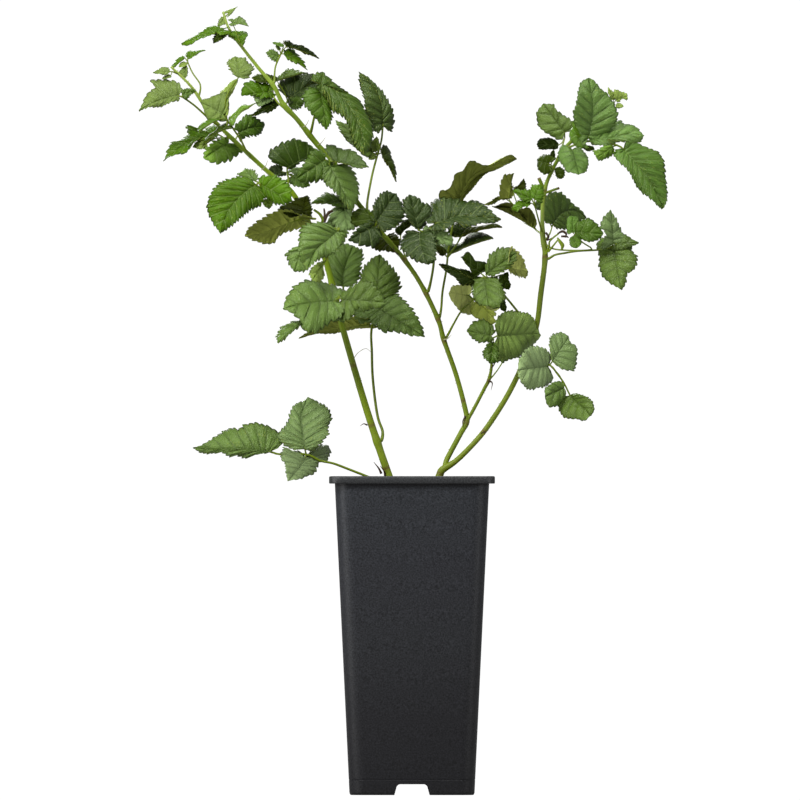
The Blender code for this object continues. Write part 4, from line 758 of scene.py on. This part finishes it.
class Shape:
    """A mesh that grows by patches of points, faces, colours with their gloss, and material numbers."""

    def __init__(self):
        self.points, self.colours, self.faces, self.skins, self.count = [], [], [], [], 0

    def add(self, points, faces, colours, skin=0, gloss=GLOSS):
        """Add a patch. Its colours and its material numbers are one for all, or one for each point or face."""
        points = np.asarray(points, float)
        self.points.append(points)
        plain = np.broadcast_to(np.asarray(colours, float), points.shape)
        self.colours.append(np.hstack([plain, np.full((len(points), 1), gloss)]))
        self.faces += [[index + self.count for index in face] for face in faces]
        self.skins += np.broadcast_to(skin, len(faces)).tolist()
        self.count += len(points)

    def build(self, name, materials):
        """The finished mesh as an object."""
        mesh = bpy.data.meshes.new(name)
        mesh.from_pydata(place(np.vstack(self.points)).tolist(), [], self.faces)
        for look in materials:
            mesh.materials.append(look)
        mesh.polygons.foreach_set("material_index", self.skins)
        tint = mesh.color_attributes.new("tint", "FLOAT_COLOR", "POINT")
        tint.data.foreach_set("color", np.vstack(self.colours).astype(np.float32).ravel())
        mesh.polygons.foreach_set("use_smooth", [True] * len(mesh.polygons))
        mesh.update()
        return put(name, mesh)


# Materials


def principled(name, roughness, specular=GLOSS):
    """A new material and its shader."""
    look = bpy.data.materials.new(name)
    look.use_nodes = True
    shader = look.node_tree.nodes["Principled BSDF"]
    shader.inputs["Roughness"].default_value = roughness
    shader.inputs["Specular IOR Level"].default_value = specular
    return look, look.node_tree, shader


def add_node(tree, kind, inputs=(), **settings):
    """A shader node with its settings and its input values."""
    node = tree.nodes.new(kind)
    for key, value in settings.items():
        setattr(node, key, value)
    for key, value in dict(inputs).items():
        node.inputs[key].default_value = value
    return node


def in_own_space(tree, texture, output):
    """A texture laid in the object's own space."""
    where = add_node(tree, "ShaderNodeTexCoord")
    tree.links.new(where.outputs["Object"], texture.inputs["Vector"])
    return texture.outputs[output]


def speckle(tree, scale):
    """Fine noise at a scale."""
    return in_own_space(tree, add_node(tree, "ShaderNodeTexNoise", {"Scale": scale, "Detail": 2.0}), "Fac")


def ramp(tree, value, inputs):
    """A value stretched from one range to another."""
    node = add_node(tree, "ShaderNodeMapRange", inputs)
    tree.links.new(value, node.inputs["Value"])
    return node.outputs["Result"]


def bump(tree, shader, height, strength, distance):
    """Raise the surface by a texture, on top of any bump that it has."""
    node = add_node(tree, "ShaderNodeBump", {"Strength": strength, "Distance": distance})
    for link in tuple(shader.inputs["Normal"].links):
        tree.links.new(link.from_socket, node.inputs["Normal"])
    tree.links.new(height, node.inputs["Height"])
    tree.links.new(node.outputs["Normal"], shader.inputs["Normal"])


def tinted(name, roughness, grain, mottle, relief, spread=0.22):
    """A material that takes its colour and gloss from the mesh, mottled by a spread and grained at a scale."""
    look, tree, shader = principled(name, roughness)
    tint = add_node(tree, "ShaderNodeAttribute", attribute_name="tint")
    mix = add_node(tree, "ShaderNodeVectorMath", operation="SCALE")
    tree.links.new(tint.outputs["Color"], mix.inputs[0])
    patchy = ramp(tree, speckle(tree, mottle), {"To Min": 1 - spread, "To Max": 1 + spread})
    tree.links.new(patchy, mix.inputs["Scale"])
    tree.links.new(mix.outputs["Vector"], shader.inputs["Base Color"])
    tree.links.new(tint.outputs["Alpha"], shader.inputs["Specular IOR Level"])
    bump(tree, shader, speckle(tree, grain), strength=0.5, distance=relief)
    return look


def leaf_material(name, roughness, relief):
    """A tinted material puckered by the finest net of veins."""
    look = tinted(name, roughness, grain=900, mottle=140, relief=relief)
    tree = look.node_tree
    shader = tree.nodes["Principled BSDF"]
    shader.inputs["Specular Tint"].default_value = LEAF_SHEEN
    net = add_node(tree, "ShaderNodeTexVoronoi", {"Scale": VEIN_NET}, feature="DISTANCE_TO_EDGE")
    cells = ramp(tree, in_own_space(tree, net, "Distance"), {"From Max": 0.3})
    bump(tree, shader, cells, strength=0.45, distance=relief)
    patchy = ramp(tree, speckle(tree, 60), {"To Min": roughness - 0.12, "To Max": roughness + 0.12})
    tree.links.new(patchy, shader.inputs["Roughness"])
    return look


# Tubes: canes and stalks


def smooth_route(points, values, step):
    """A smooth curve through points, with its values, at about equal steps."""
    points = [np.array(p, float) for p in points]
    knots = [2 * points[0] - points[1], *points, 2 * points[-1] - points[-2]]
    course, carried = [], []
    for index in range(len(points) - 1):
        a, b, c, d = knots[index:index + 4]
        pieces = max(1, round(np.linalg.norm(c - b) / step))
        for share in np.arange(pieces) / pieces:
            square, cube = share**2, share**3
            course.append(
                0.5 * (2 * b + (c - a) * share + (2 * a - 5 * b + 4 * c - d) * square
                       + (3 * b - a - 3 * c + d) * cube)
            )
            carried.append(values[index] * (1 - share) + values[index + 1] * share)
    return np.array([*course, points[-1]]), np.array([*carried, values[-1]])


def sweep(course, radii, sides):
    """Points and faces of a closed round tube along a course."""
    tangents = np.gradient(course, axis=0)
    tangents /= np.linalg.norm(tangents, axis=1)[:, None]
    side = np.cross(tangents[0], (0.31, -0.9, 0.3))
    side /= np.linalg.norm(side)
    angles = np.linspace(0, 2 * math.pi, sides, endpoint=False)
    rings = []
    for centre, tangent, radius in zip(course, tangents, radii):
        side = side - tangent * side.dot(tangent)
        side /= np.linalg.norm(side)
        other = np.cross(tangent, side)
        rings.append(centre + radius * (np.outer(np.cos(angles), side) + np.outer(np.sin(angles), other)))
    points = np.vstack([*rings, course[:1], course[-1:]])
    faces = quads(np.arange(len(course) * sides).reshape(-1, sides), closed=True)
    first, last, base = len(points) - 2, len(points) - 1, (len(course) - 1) * sides
    for k in range(sides):
        after = (k + 1) % sides
        faces += [(first, after, k), (last, base + k, base + after)]
    return points, faces


def cane_course(name):
    """The whole course of a cane, from the soil or from its parent's bark, as (point, radius) pairs."""
    cane = CANES[name]
    course = [(Vector(p[:3]), p[3]) for p in cane.course]
    if cane.parent is None:
        return course
    middle, _, _ = at_height(cane.parent, cane.height)
    return [(middle, course[0][1]), *course]


def at_height(name, height):
    """The middle of a cane, its direction and its radius where it reaches a height."""
    course = cane_course(name)
    for (low, low_radius), (high, high_radius) in zip(course, course[1:]):
        if low.z <= height <= high.z:
            share = (height - low.z) / (high.z - low.z)
            radius = low_radius + (high_radius - low_radius) * share
            return low.lerp(high, share), (high - low).normalized(), radius
    raise ValueError(f"{name} does not reach {height} mm")


def node_heights(name):
    """The heights on a cane where leaves and shoots leave it."""
    leaves = [leaf.height for leaf in LEAVES.values() if leaf.cane == name]
    return leaves + [cane.height for cane in CANES.values() if cane.parent == name]


def cane(name, bark):
    """A cane with swollen nodes, brown scars, prickles and dry scraps."""
    course = cane_course(name)
    points, radii = smooth_route(*zip(*course), step=2.0)
    for height in node_heights(name):
        radii *= 1 + NODE_SWELL * np.exp(-(((points[:, 2] - height) / NODE_REACH) ** 2))
    shape = Shape()
    tube, faces = sweep(points, radii, CANE_SIDES)
    rings = np.append(np.repeat(np.arange(len(points)), CANE_SIDES), (0, len(points) - 1))
    heights = points[rings, 2]
    colours = shades(CANE_GREENS.get(name, CANE_GREENS["cane_middle"]), heights)
    if name.startswith("stub"):
        colours = np.where((rings > STUB_GREEN * len(points))[:, None], srgb(SCAR_BROWN), colours)
    for height in SCARS.get(name, ()):
        mark = np.exp(-(((heights - height) / SCAR_REACH) ** 2))[:, None] * SCAR_STRENGTH
        colours = colours * (1 - mark) + srgb(SCAR_BROWN) * mark
    shape.add(tube, faces, colours)
    prickles(shape, points, radii, random.Random(name))
    for route, thick, colour in SCRAPS.get(name, ()):
        add_tube(shape, route, thick, colour, step=0.8, sides=7)
    dress(shape.build(name, [bark]), name)


def add_tube(shape, route, radii, colour, step, sides, skin=0):
    """A smooth tube of one colour."""
    tube, faces = sweep(*smooth_route(route, radii, step), sides)
    shape.add(tube, faces, srgb(colour), skin)


def prickles(shape, points, radii, chance):
    """Small prickles that point out and a little down."""
    for index in range(2, len(points) - 1):
        if points[index][2] < SOIL_TOP or chance.random() > PRICKLE_SHARE:
            continue
        tangent = points[index + 1] - points[index - 1]
        tangent /= np.linalg.norm(tangent)
        out = np.cross(tangent, [chance.uniform(-1, 1) for _ in range(3)])
        out /= np.linalg.norm(out)
        length = chance.uniform(*PRICKLE_LENGTH)
        start = points[index] + out * radii[index] * 0.8
        spine = [start, start + out * (length * 0.6) - tangent * 0.1, start + out * length - tangent * length * 0.4]
        tube, faces = sweep(np.array(spine), PRICKLE_RADII, sides=5)
        shape.add(tube, faces, srgb(PRICKLE_STRAW))


# Leaves


class Blade:
    """A leaflet's blade in space, worked out from how it looks from the front."""

    def __init__(self, leaflet, depth):
        flat = Vector((leaflet.tip[0] - leaflet.base[0], 0, leaflet.tip[1] - leaflet.base[1]))
        shown = flat.length
        turned = math.sqrt(max(0, (leaflet.width / BLADE_RATIO) ** 2 - shown**2))
        lean = max(turned, LEAST_LEAN * shown)
        away = leaflet.side if flat.z > 0 else -leaflet.side
        self.side = leaflet.side
        self.base = Vector((leaflet.base[0], depth, leaflet.base[1]))
        span = flat + Vector((0, away * lean, 0))
        self.length = span.length
        self.along = span.normalized()
        roll = min(math.acos(min(1, leaflet.width / (BLADE_RATIO * self.length))), STEEPEST_ROLL)
        self.half_width = leaflet.width / 2 / math.cos(roll)
        self.normal = self.facing(flat, leaflet.side, roll)
        self.across = self.along.cross(self.normal)
        self.rise = (self.normal * 0.4 - Vector((0, leaflet.side, 0)) * 0.6).normalized()

    def facing(self, flat, side, roll):
        """The way the upper side faces: to the viewer or away, and skywards rather than down."""
        across = Vector((flat.z, 0, -flat.x)).normalized()
        square = self.along.cross(across).normalized()
        if square.y * side > 0:
            square = -square
        sideways = self.along.cross(square)
        turns = [square * math.cos(roll) + sideways * math.sin(roll) * way for way in (1, -1)]
        return max(turns, key=lambda normal: normal.z)


def oval_margin(blade, form, seen, share):
    """A margin of a plain form in the blade's own (along, across)."""
    slender, wide = form.sharp, form.wide
    full = (share / wide) ** (slender * wide) * ((1 - share) / (1 - wide)) ** (slender * (1 - wide))
    across = blade.half_width * (1 + form.skew * seen) * full
    along = (share - form.heart * np.sin(math.pi * np.minimum(share / HEART_REACH, 1))) * blade.length
    return np.stack([along, across * seen * blade.side], axis=1)


def drawn_line(blade, points, share):
    """A smooth line from base to tip through points given as they look from the front, in the blade's own measures."""
    inverse = np.linalg.inv([[blade.along.x, blade.across.x], [blade.along.z, blade.across.z]])
    offsets = np.array([(x - blade.base.x, z - blade.base.z) for x, z in points]).reshape(-1, 2) @ inverse.T
    knots = [(0, 0), *offsets, (blade.length, 0)]
    line, _ = smooth_route(knots, [0] * len(knots), step=0.8)
    run = np.append(0, np.cumsum(np.linalg.norm(np.diff(line, axis=0), axis=1)))
    return np.stack([np.interp(share * run[-1], run, line[:, k]) for k in (0, 1)], axis=1)


def blade_lines(blade, form, share):
    """The midrib where each side vein leaves it, and the left and right margins where the veins end."""
    if isinstance(form, Outline):
        rib = drawn_line(blade, form.rib, share**VEIN_SLANT)
        seen = {side: lobed(blade, drawn_line(blade, points, share), share)
                for side, points in ((1, form.right), (-1, form.left))}
    else:
        bow = form.bend * blade.side * blade.length * 4 * share * (1 - share)
        rib = np.stack([share**VEIN_SLANT * blade.length, bow], axis=1)
        seen = {side: oval_margin(blade, form, side, share) + bow[:, None] * (0, 1) for side in (1, -1)}
    return rib, seen[-blade.side], seen[blade.side]


def lobed(blade, margin, share):
    """A margin whose base reaches back behind the fork, as a rounded lobe."""
    back = np.sin(math.pi * np.minimum(share / LOBE_REACH, 1)) * LOBE * blade.length
    return margin - back[:, None] * (1, 0)


def toothed(margin, way, tooth):
    """A margin with its teeth, which lean towards the tip."""
    run = np.gradient(margin, axis=0)
    run /= np.linalg.norm(run, axis=1)[:, None]
    outward = np.stack([-run[:, 1], run[:, 0]], axis=1) * way
    lean = run * np.maximum(tooth, 0)[:, None] * TOOTH_LEAN
    return margin + outward * tooth[:, None] + lean + (0, way * END_HALF)


def blade_grid(blade, form, chance):
    """Along, across and up for each point of a blade's upper side, how much of a vein it is, and its brightness:
    painted shade in the furrows along the veins, paler towards the margin and the tip, and a random shift for each
    half.
    """
    veins = min(10, max(4, round(blade.length / VEIN_SPACING)))
    steps = np.concatenate([index + PHASES for index in range(veins)] + [np.array([veins])])
    phase = steps % 1
    share = steps / veins
    rib, *margins = blade_lines(blade, form, share)
    reach = COLUMNS[None, :]
    pillow = np.sin(math.pi * phase)[:, None] ** 0.7
    cushion = pillow * np.sin(math.pi * np.minimum(reach / VEIN_END, 1) ** 0.75) ** 0.6
    vein = (phase < 0.001)[:, None] * (1 - 0.5 * reach) * (reach < VEIN_END)
    vein = np.maximum(vein, (reach == 0) * (1.0 - 0.5 * share[:, None]))
    fold, curl, waves, start, arch = (chance.uniform(*span) for span in (FOLD, CURL, WAVES, (0, 6), ARCH))
    rough = np.random.default_rng(chance.randrange(10**6))
    sides = []
    for way, margin in zip((-1, 1), margins):
        size = np.array([chance.uniform(0.7, 1.3) for _ in range(veins)] + [1.0])
        size = size[np.minimum(steps.astype(int), veins)] * np.sin(math.pi * share) ** 0.4
        tooth = np.interp(phase, PHASES, TOOTH) * size * TOOTH_SIZE * form.teeth * blade.length / veins
        edge = toothed(margin, way, tooth)
        spread = np.linalg.norm(edge - rib, axis=1)[:, None]
        flat = rib[:, None, :] + (edge - rib)[:, None, :] * reach[..., None]
        sway = np.sin(2 * math.pi * waves * share + start + way)[:, None] * reach**2
        part = np.clip(flat[..., 0] / blade.length, 0, 1)
        height = cushion * QUILT * blade.length / veins + rough.normal(0, ROUGHNESS * blade.length, part.shape)
        height = height + spread * (fold * reach - curl * reach**3) + sway * SWAY * blade.length
        height = height + arch * blade.length * 4 * part * (1 - part)
        # Painted shade: darker in the furrows where the blade does not swell between the veins, paler towards the
        # margin and the tip, with a random brightness for each half.
        painted_shading = (0.74 + 0.32 * cushion + 0.1 * reach + 0.12 * part) * chance.uniform(0.86, 1.12)
        sides.append((flat[..., 0], flat[..., 1], height, vein + 0 * part, painted_shading))
    return [np.hstack([left[:, :0:-1], right]) for left, right in zip(*sides)]


def blade_points(blade, along, across, height):
    """A grid of points in space from a blade's own measures."""
    points = np.array(blade.base)
    for run, way in ((along, blade.along), (across, blade.across), (height, blade.rise)):
        points = points + run[..., None] * np.array(way)
    return points


def add_blade(shape, blade, form, colour, chance):
    """A thin closed blade with a toothed margin, sunk veins and a paler underside, coloured with painted shade in its
    furrows, along its veins on darker-veined colours, and along the veins of its underside.
    """
    along, across, height, vein, painted_shading = blade_grid(blade, form, chance)
    rows, columns = along.shape
    upper = blade_points(blade, along, across, height)
    thick = (0.2 + 0.35 * vein) * min(1, blade.length / 25)
    lower = upper - np.array(blade.normal) * thick[..., None]
    inside = np.zeros((rows, columns), bool)
    inside[1:-1, 1:-1] = True
    number = np.arange(rows * columns).reshape(rows, columns)
    under = number.copy()
    under[inside] = rows * columns + np.arange(inside.sum())
    green, contrast, gloss = colour
    tint = srgb(green) * chance.uniform(0.88, 1.12)
    line = vein[..., None] * abs(contrast)
    # A colour with a contrast below nought darkens its veins, as painted shade in the sunken veins.
    top = tint * painted_shading[..., None] * (1 - line) + line * (VEIN_PALE if contrast > 0 else tint * 0.4)
    # The underside is darker along its raised veins, as painted shade.
    below = (tint + UNDER_OLIVE) / 2 * (1 - 0.35 * vein[..., None])
    faces = quads(number)
    shape.add(
        np.vstack([upper.reshape(-1, 3), lower[inside]]),
        faces + [face[::-1] for face in quads(under)],
        np.vstack([top.reshape(-1, 3), below[inside]]),
        np.repeat((UPPER_SKIN, UNDER_SKIN), len(faces)),
        gloss,
    )


def leaf_route(leaf):
    """The leaf's stalk from inside the bark to its fork."""
    points = [Vector((x, 0, z)) for x, z in leaf.stalk]
    middle, axis, bark = at_height(leaf.cane, leaf.height)
    target = points[0].copy()
    target.y = middle.y + (leaf.depth - middle.y) / len(points)
    outward = target - middle
    outward = (outward - axis * outward.dot(axis)).normalized()
    shoulder = middle + outward * (bark + leaf.radius)
    for index, point in enumerate(points):
        point.y = shoulder.y + (leaf.depth - shoulder.y) * (index + 1) / len(points)
    return [middle + outward * bark * 0.5, shoulder, *points]


def leaf(name, spec, materials):
    """A compound leaf as one piece."""
    chance = random.Random(name)
    tones = TONES[name].split()
    tones = tones * len(spec.leaflets) if len(tones) == 1 else tones
    forms = FORMS.get(name, ()) + (Form(),) * len(spec.leaflets)
    route = leaf_route(spec)
    shape = Shape()
    for index, leaflet in enumerate(spec.leaflets):
        blade = Blade(leaflet, spec.depth)
        add_blade(shape, blade, forms[index], LEAF_GREENS_LIT_AND_SHADED[tones[index]], chance)
        rib, *_ = blade_lines(blade, forms[index], STALK_ENDS ** (1 / VEIN_SLANT))
        runs = [
            *(route if index == 0 else route[-1:]), *(Vector((x, spec.depth, z)) for x, z in leaflet.via), blade.base,
            *(Vector(point) for point in blade_points(blade, *rib.T, np.full(2, STALK_DROP))),
        ]
        thick = spec.radius if index == 0 else spec.radius * 0.7
        radii = list(np.linspace(thick, thick * 0.75, len(runs) - 2)) + [thick * 0.5, thick * 0.2]
        if index == 0:
            radii[:2] = thick * 1.5, thick * 1.25
        add_tube(shape, runs, radii, STALK_GREEN, step=3.0, sides=9, skin=STALK_SKIN)
    dress(shape.build(name, materials), name)


# The pot and the compost


def body_half(height):
    """Half the width of the pot's outside at a height."""
    return FOOT_HALF + TAPER * height


def square_ring(half, corner, height):
    """A rounded square of points at a height."""
    points = []
    for quarter, (right, back) in enumerate(((1, 1), (-1, 1), (-1, -1), (1, -1))):
        for step in range(CORNER_STEPS):
            angle = quarter * math.pi / 2 + step / (CORNER_STEPS - 1) * math.pi / 2
            x = right * (half - corner) + corner * math.cos(angle)
            y = back * (half - corner) + corner * math.sin(angle)
            points.append((x, y, height))
    return points


def pot_profile():
    """The pot's section as (half width, corner radius, height), from under the floor round to the inside."""
    outside = [(body_half(height) - inset, BODY_CORNER - inset, height) for inset, height in POT_OUTSIDE]
    fold = [(half, RIM_CORNER - (RIM_HALF - half) * 0.4, height) for half, height in POT_FOLD]
    inside = [(body_half(height) - WALL, BODY_CORNER - WALL, height) for height in POT_INSIDE]
    return outside + fold + inside


def notch_cutter(name, turned):
    """A block that cuts the notches in two opposite sides of the foot, wider towards its bottom."""
    shape = bmesh.new()
    bmesh.ops.create_cube(shape, size=1)
    for vert in shape.verts:
        vert.co = Vector(place([vert.co[k] * NOTCH_SIZE[k] + NOTCH_MIDDLE[k] for k in range(3)]))
    bmesh.ops.bevel(shape, geom=shape.edges, offset=NOTCH_BEVEL * MM, segments=3, profile=0.5, affect="EDGES")
    top = NOTCH_MIDDLE[2] + NOTCH_SIZE[2] / 2
    for vert in shape.verts:
        widening = 1 + (top - vert.co.z / MM) * NOTCH_SLOPE / (NOTCH_SIZE[0] / 2)
        x, y = (vert.co.x - CENTRE.x) * widening, vert.co.y - CENTRE.y
        vert.co.x, vert.co.y = (CENTRE.x - y, CENTRE.y + x) if turned else (CENTRE.x + x, CENTRE.y + y)
    mesh = bpy.data.meshes.new(name)
    shape.to_mesh(mesh)
    shape.free()
    return put(name, mesh)


def pot():
    """The pot, with drainage notches in its foot and holes in its floor."""
    shape = Shape()
    rings = [square_ring(*ring) for ring in pot_profile()]
    number = np.arange(len(rings) * len(rings[0])).reshape(len(rings), -1)
    faces = quads(number, closed=True) + [number[0, ::-1].tolist(), number[-1].tolist()]
    shape.add(np.vstack(rings), faces, 0)
    plastic = tinted("pot_plastic", roughness=0.42, grain=900, mottle=900, relief=0.0003, spread=1.5)
    piece = shape.build("pot_shell", [plastic])
    cutters = [notch_cutter(f"notch_{turned}", turned) for turned in (0, 1)]
    for x, y in HOLES:
        bpy.ops.mesh.primitive_cylinder_add(vertices=32, radius=HOLE_RADIUS * MM, depth=HOLE_DEPTH * MM)
        hole = bpy.context.object
        hole.location = CENTRE + Vector((x, y, HOLE_HEIGHT)) * MM
        cutters.append(hole)
    for cutter in cutters:
        cut = piece.modifiers.new(cutter.name, "BOOLEAN")
        cut.operation, cut.solver, cut.object = "DIFFERENCE", "EXACT", cutter
    bpy.context.view_layer.update()
    mesh = bpy.data.meshes.new_from_object(piece.evaluated_get(bpy.context.evaluated_depsgraph_get()))
    piece.modifiers.clear()
    piece.data = mesh
    for cutter in cutters:
        bpy.data.objects.remove(cutter)
    # Painted light: the pot is coloured paler up towards the rim, with a painted shadow band under the rim's fold.
    heights = np.array([vert.co.z / MM for vert in mesh.vertices])
    tint = np.hstack([shades(POT_GREYS_AND_PAINTED_LIGHT, heights), np.full((len(heights), 1), GLOSS)])
    mesh.color_attributes["tint"].data.foreach_set("color", tint.astype(np.float32).ravel())
    mesh.set_sharp_from_angle(angle=math.radians(40))
    dress(piece, "pot")


def soil_height(x, y):
    """The compost's uneven surface."""
    far = noise.fractal(Vector((x / 22, y / 22, 3)), 0.9, 2.1, 4)
    fine = noise.fractal(Vector((x / 5, y / 5, 7)), 0.8, 2.2, 3)
    return SOIL_TOP - 1.2 + 1.6 * far + 0.9 * fine


def soil():
    """The compost, crumbly on top."""
    half, low = (body_half(height) - WALL - SOIL_GAP for height in (SOIL_TOP, SOIL_FOOT))
    corner = BODY_CORNER - WALL - SOIL_GAP
    shape = Shape()
    grid = np.linspace(-1, 1, SOIL_CELLS + 1)
    flat = [rounded(u, v, half, corner) for v in grid for u in grid]
    points = [(x, y, soil_height(x, y)) for x, y in flat]
    number = np.arange(len(points)).reshape(SOIL_CELLS + 1, -1)
    edge = [*number[0, :-1], *number[:-1, -1], *number[-1, :0:-1], *number[:0:-1, 0]]
    foot = np.arange(len(edge)) + len(points)
    points += [(points[k][0] * low / half, points[k][1] * low / half, SOIL_FOOT) for k in edge]
    faces = quads(number) + quads(np.array([foot, edge]), closed=True) + [foot[::-1].tolist()]
    shape.add(points, faces, srgb(SOIL_BROWN))
    chance = random.Random(5)
    for _ in range(CRUMBS):
        x, y = (chance.uniform(-half + 3, half - 3) for _ in range(2))
        if min(abs(x), abs(y)) <= half - corner:
            crumb(shape, Vector((x, y, soil_height(x, y))), chance)
    earth = tinted("compost", roughness=0.95, grain=900, mottle=260, relief=0.0006)
    dress(shape.build("compost", [earth]), "soil")


def rounded(u, v, half, corner):
    """Map a square grid onto a rounded square."""
    x, y = u * half, v * half
    inner = half - corner
    over_x, over_y = abs(x) - inner, abs(y) - inner
    if over_x > 0 and over_y > 0:
        shrink = max(over_x, over_y) / math.hypot(over_x, over_y)
        x = math.copysign(inner + over_x * shrink, x)
        y = math.copysign(inner + over_y * shrink, y)
    return x, y


def crumb(shape, where, chance):
    """A lump of compost or a chip of bark."""
    lump = bmesh.new()
    bmesh.ops.create_icosphere(lump, subdivisions=1, radius=1)
    size = chance.uniform(0.8, 2.6)
    stretch = Vector((chance.uniform(0.7, 1.8), chance.uniform(0.6, 1.2), chance.uniform(0.35, 0.8))) * size
    turn = chance.uniform(0, math.pi)
    points = []
    for vert in lump.verts:
        p = Vector([vert.co[k] * stretch[k] * chance.uniform(0.75, 1.15) for k in range(3)])
        spun = (p.x * math.cos(turn) - p.y * math.sin(turn), p.x * math.sin(turn) + p.y * math.cos(turn), p.z)
        points.append(where + Vector(spun))
    faces = [[v.index for v in face.verts] for face in lump.faces]
    lump.free()
    shape.add(points, faces, srgb(chance.choice(CRUMB_BROWNS)))


# The studio


def studio():
    """A pale floor and surround, soft lights and the camera."""
    bpy.ops.mesh.primitive_plane_add(size=FLOOR_SIZE)
    floor = bpy.context.object
    floor.name = "floor"
    floor.location.z = FLOOR_HEIGHT
    look, tree, shader = principled("floor_paint", 0.9, 0.1)
    shader.inputs["Base Color"].default_value = (0.3, 0.3, 0.3, 1)
    sheet = add_node(tree, "ShaderNodeEmission", {"Strength": SHEET_GLOW})
    seen_or_lit(tree, shader, sheet, tree.nodes["Material Output"])
    floor.data.materials.append(look)
    surround()
    for name, where, size, power in LIGHTS:
        lamp = bpy.data.lights.new(name, "AREA")
        lamp.size, lamp.energy = size, power
        turn_to(put(name, lamp), where, LIT_MIDDLE)
    bpy.context.scene.view_settings.view_transform = "Standard"
    camera = bpy.data.cameras.new("camera")
    camera.sensor_width = SENSOR
    camera.lens = SENSOR * VIEW_DISTANCE / VIEW_WIDTH
    camera.clip_end = VIEW_DISTANCE * 4
    eye = put("camera", camera)
    target = CENTRE + VIEW_MIDDLE
    turn_to(eye, (target.x, CENTRE.y - VIEW_DISTANCE, VIEW_HEIGHT), target)
    bpy.context.scene.camera = eye


def surround():
    """White all round behind the plant, and dimmer as a light on it, like walls outside the studio lamps."""
    world = bpy.data.worlds.new("studio")
    world.use_nodes = True
    tree = world.node_tree
    walls = tree.nodes["Background"]
    sheet = add_node(tree, "ShaderNodeBackground")
    for shader, strength in ((walls, WALL_LIGHT), (sheet, SHEET_GLOW)):
        shader.inputs["Color"].default_value = (1, 1, 1, 1)
        shader.inputs["Strength"].default_value = strength
    seen_or_lit(tree, walls, sheet, tree.nodes["World Output"])
    bpy.context.scene.world = world


def seen_or_lit(tree, light, sheet, output):
    """Show the backdrop as a white sheet, and let it light the plant as a dimmer one."""
    ray = add_node(tree, "ShaderNodeLightPath")
    mix = add_node(tree, "ShaderNodeMixShader")
    tree.links.new(ray.outputs["Is Camera Ray"], mix.inputs["Fac"])
    tree.links.new(light.outputs[0], mix.inputs[1])
    tree.links.new(sheet.outputs[0], mix.inputs[2])
    tree.links.new(mix.outputs[0], output.inputs["Surface"])


def turn_to(holder, where, target):
    """Move a lamp or the camera, and face it to a target."""
    holder.location = where
    holder.rotation_euler = (Vector(target) - holder.location).to_track_quat("-Z", "Y").to_euler()


def main():
    """Build the studio and every piece."""
    studio()
    pot()
    soil()
    bark = tinted("cane_bark", roughness=0.5, grain=500, mottle=90, relief=0.0003)
    for name in CANES:
        cane(name, bark)
    materials = [
        leaf_material("leaf_upper", roughness=0.4, relief=0.0005),
        leaf_material("leaf_under", roughness=0.75, relief=0.0004),
        tinted("leaf_stalk", roughness=0.45, grain=600, mottle=120, relief=0.0002),
    ]
    for name, spec in LEAVES.items():
        leaf(name, spec, materials)


main()
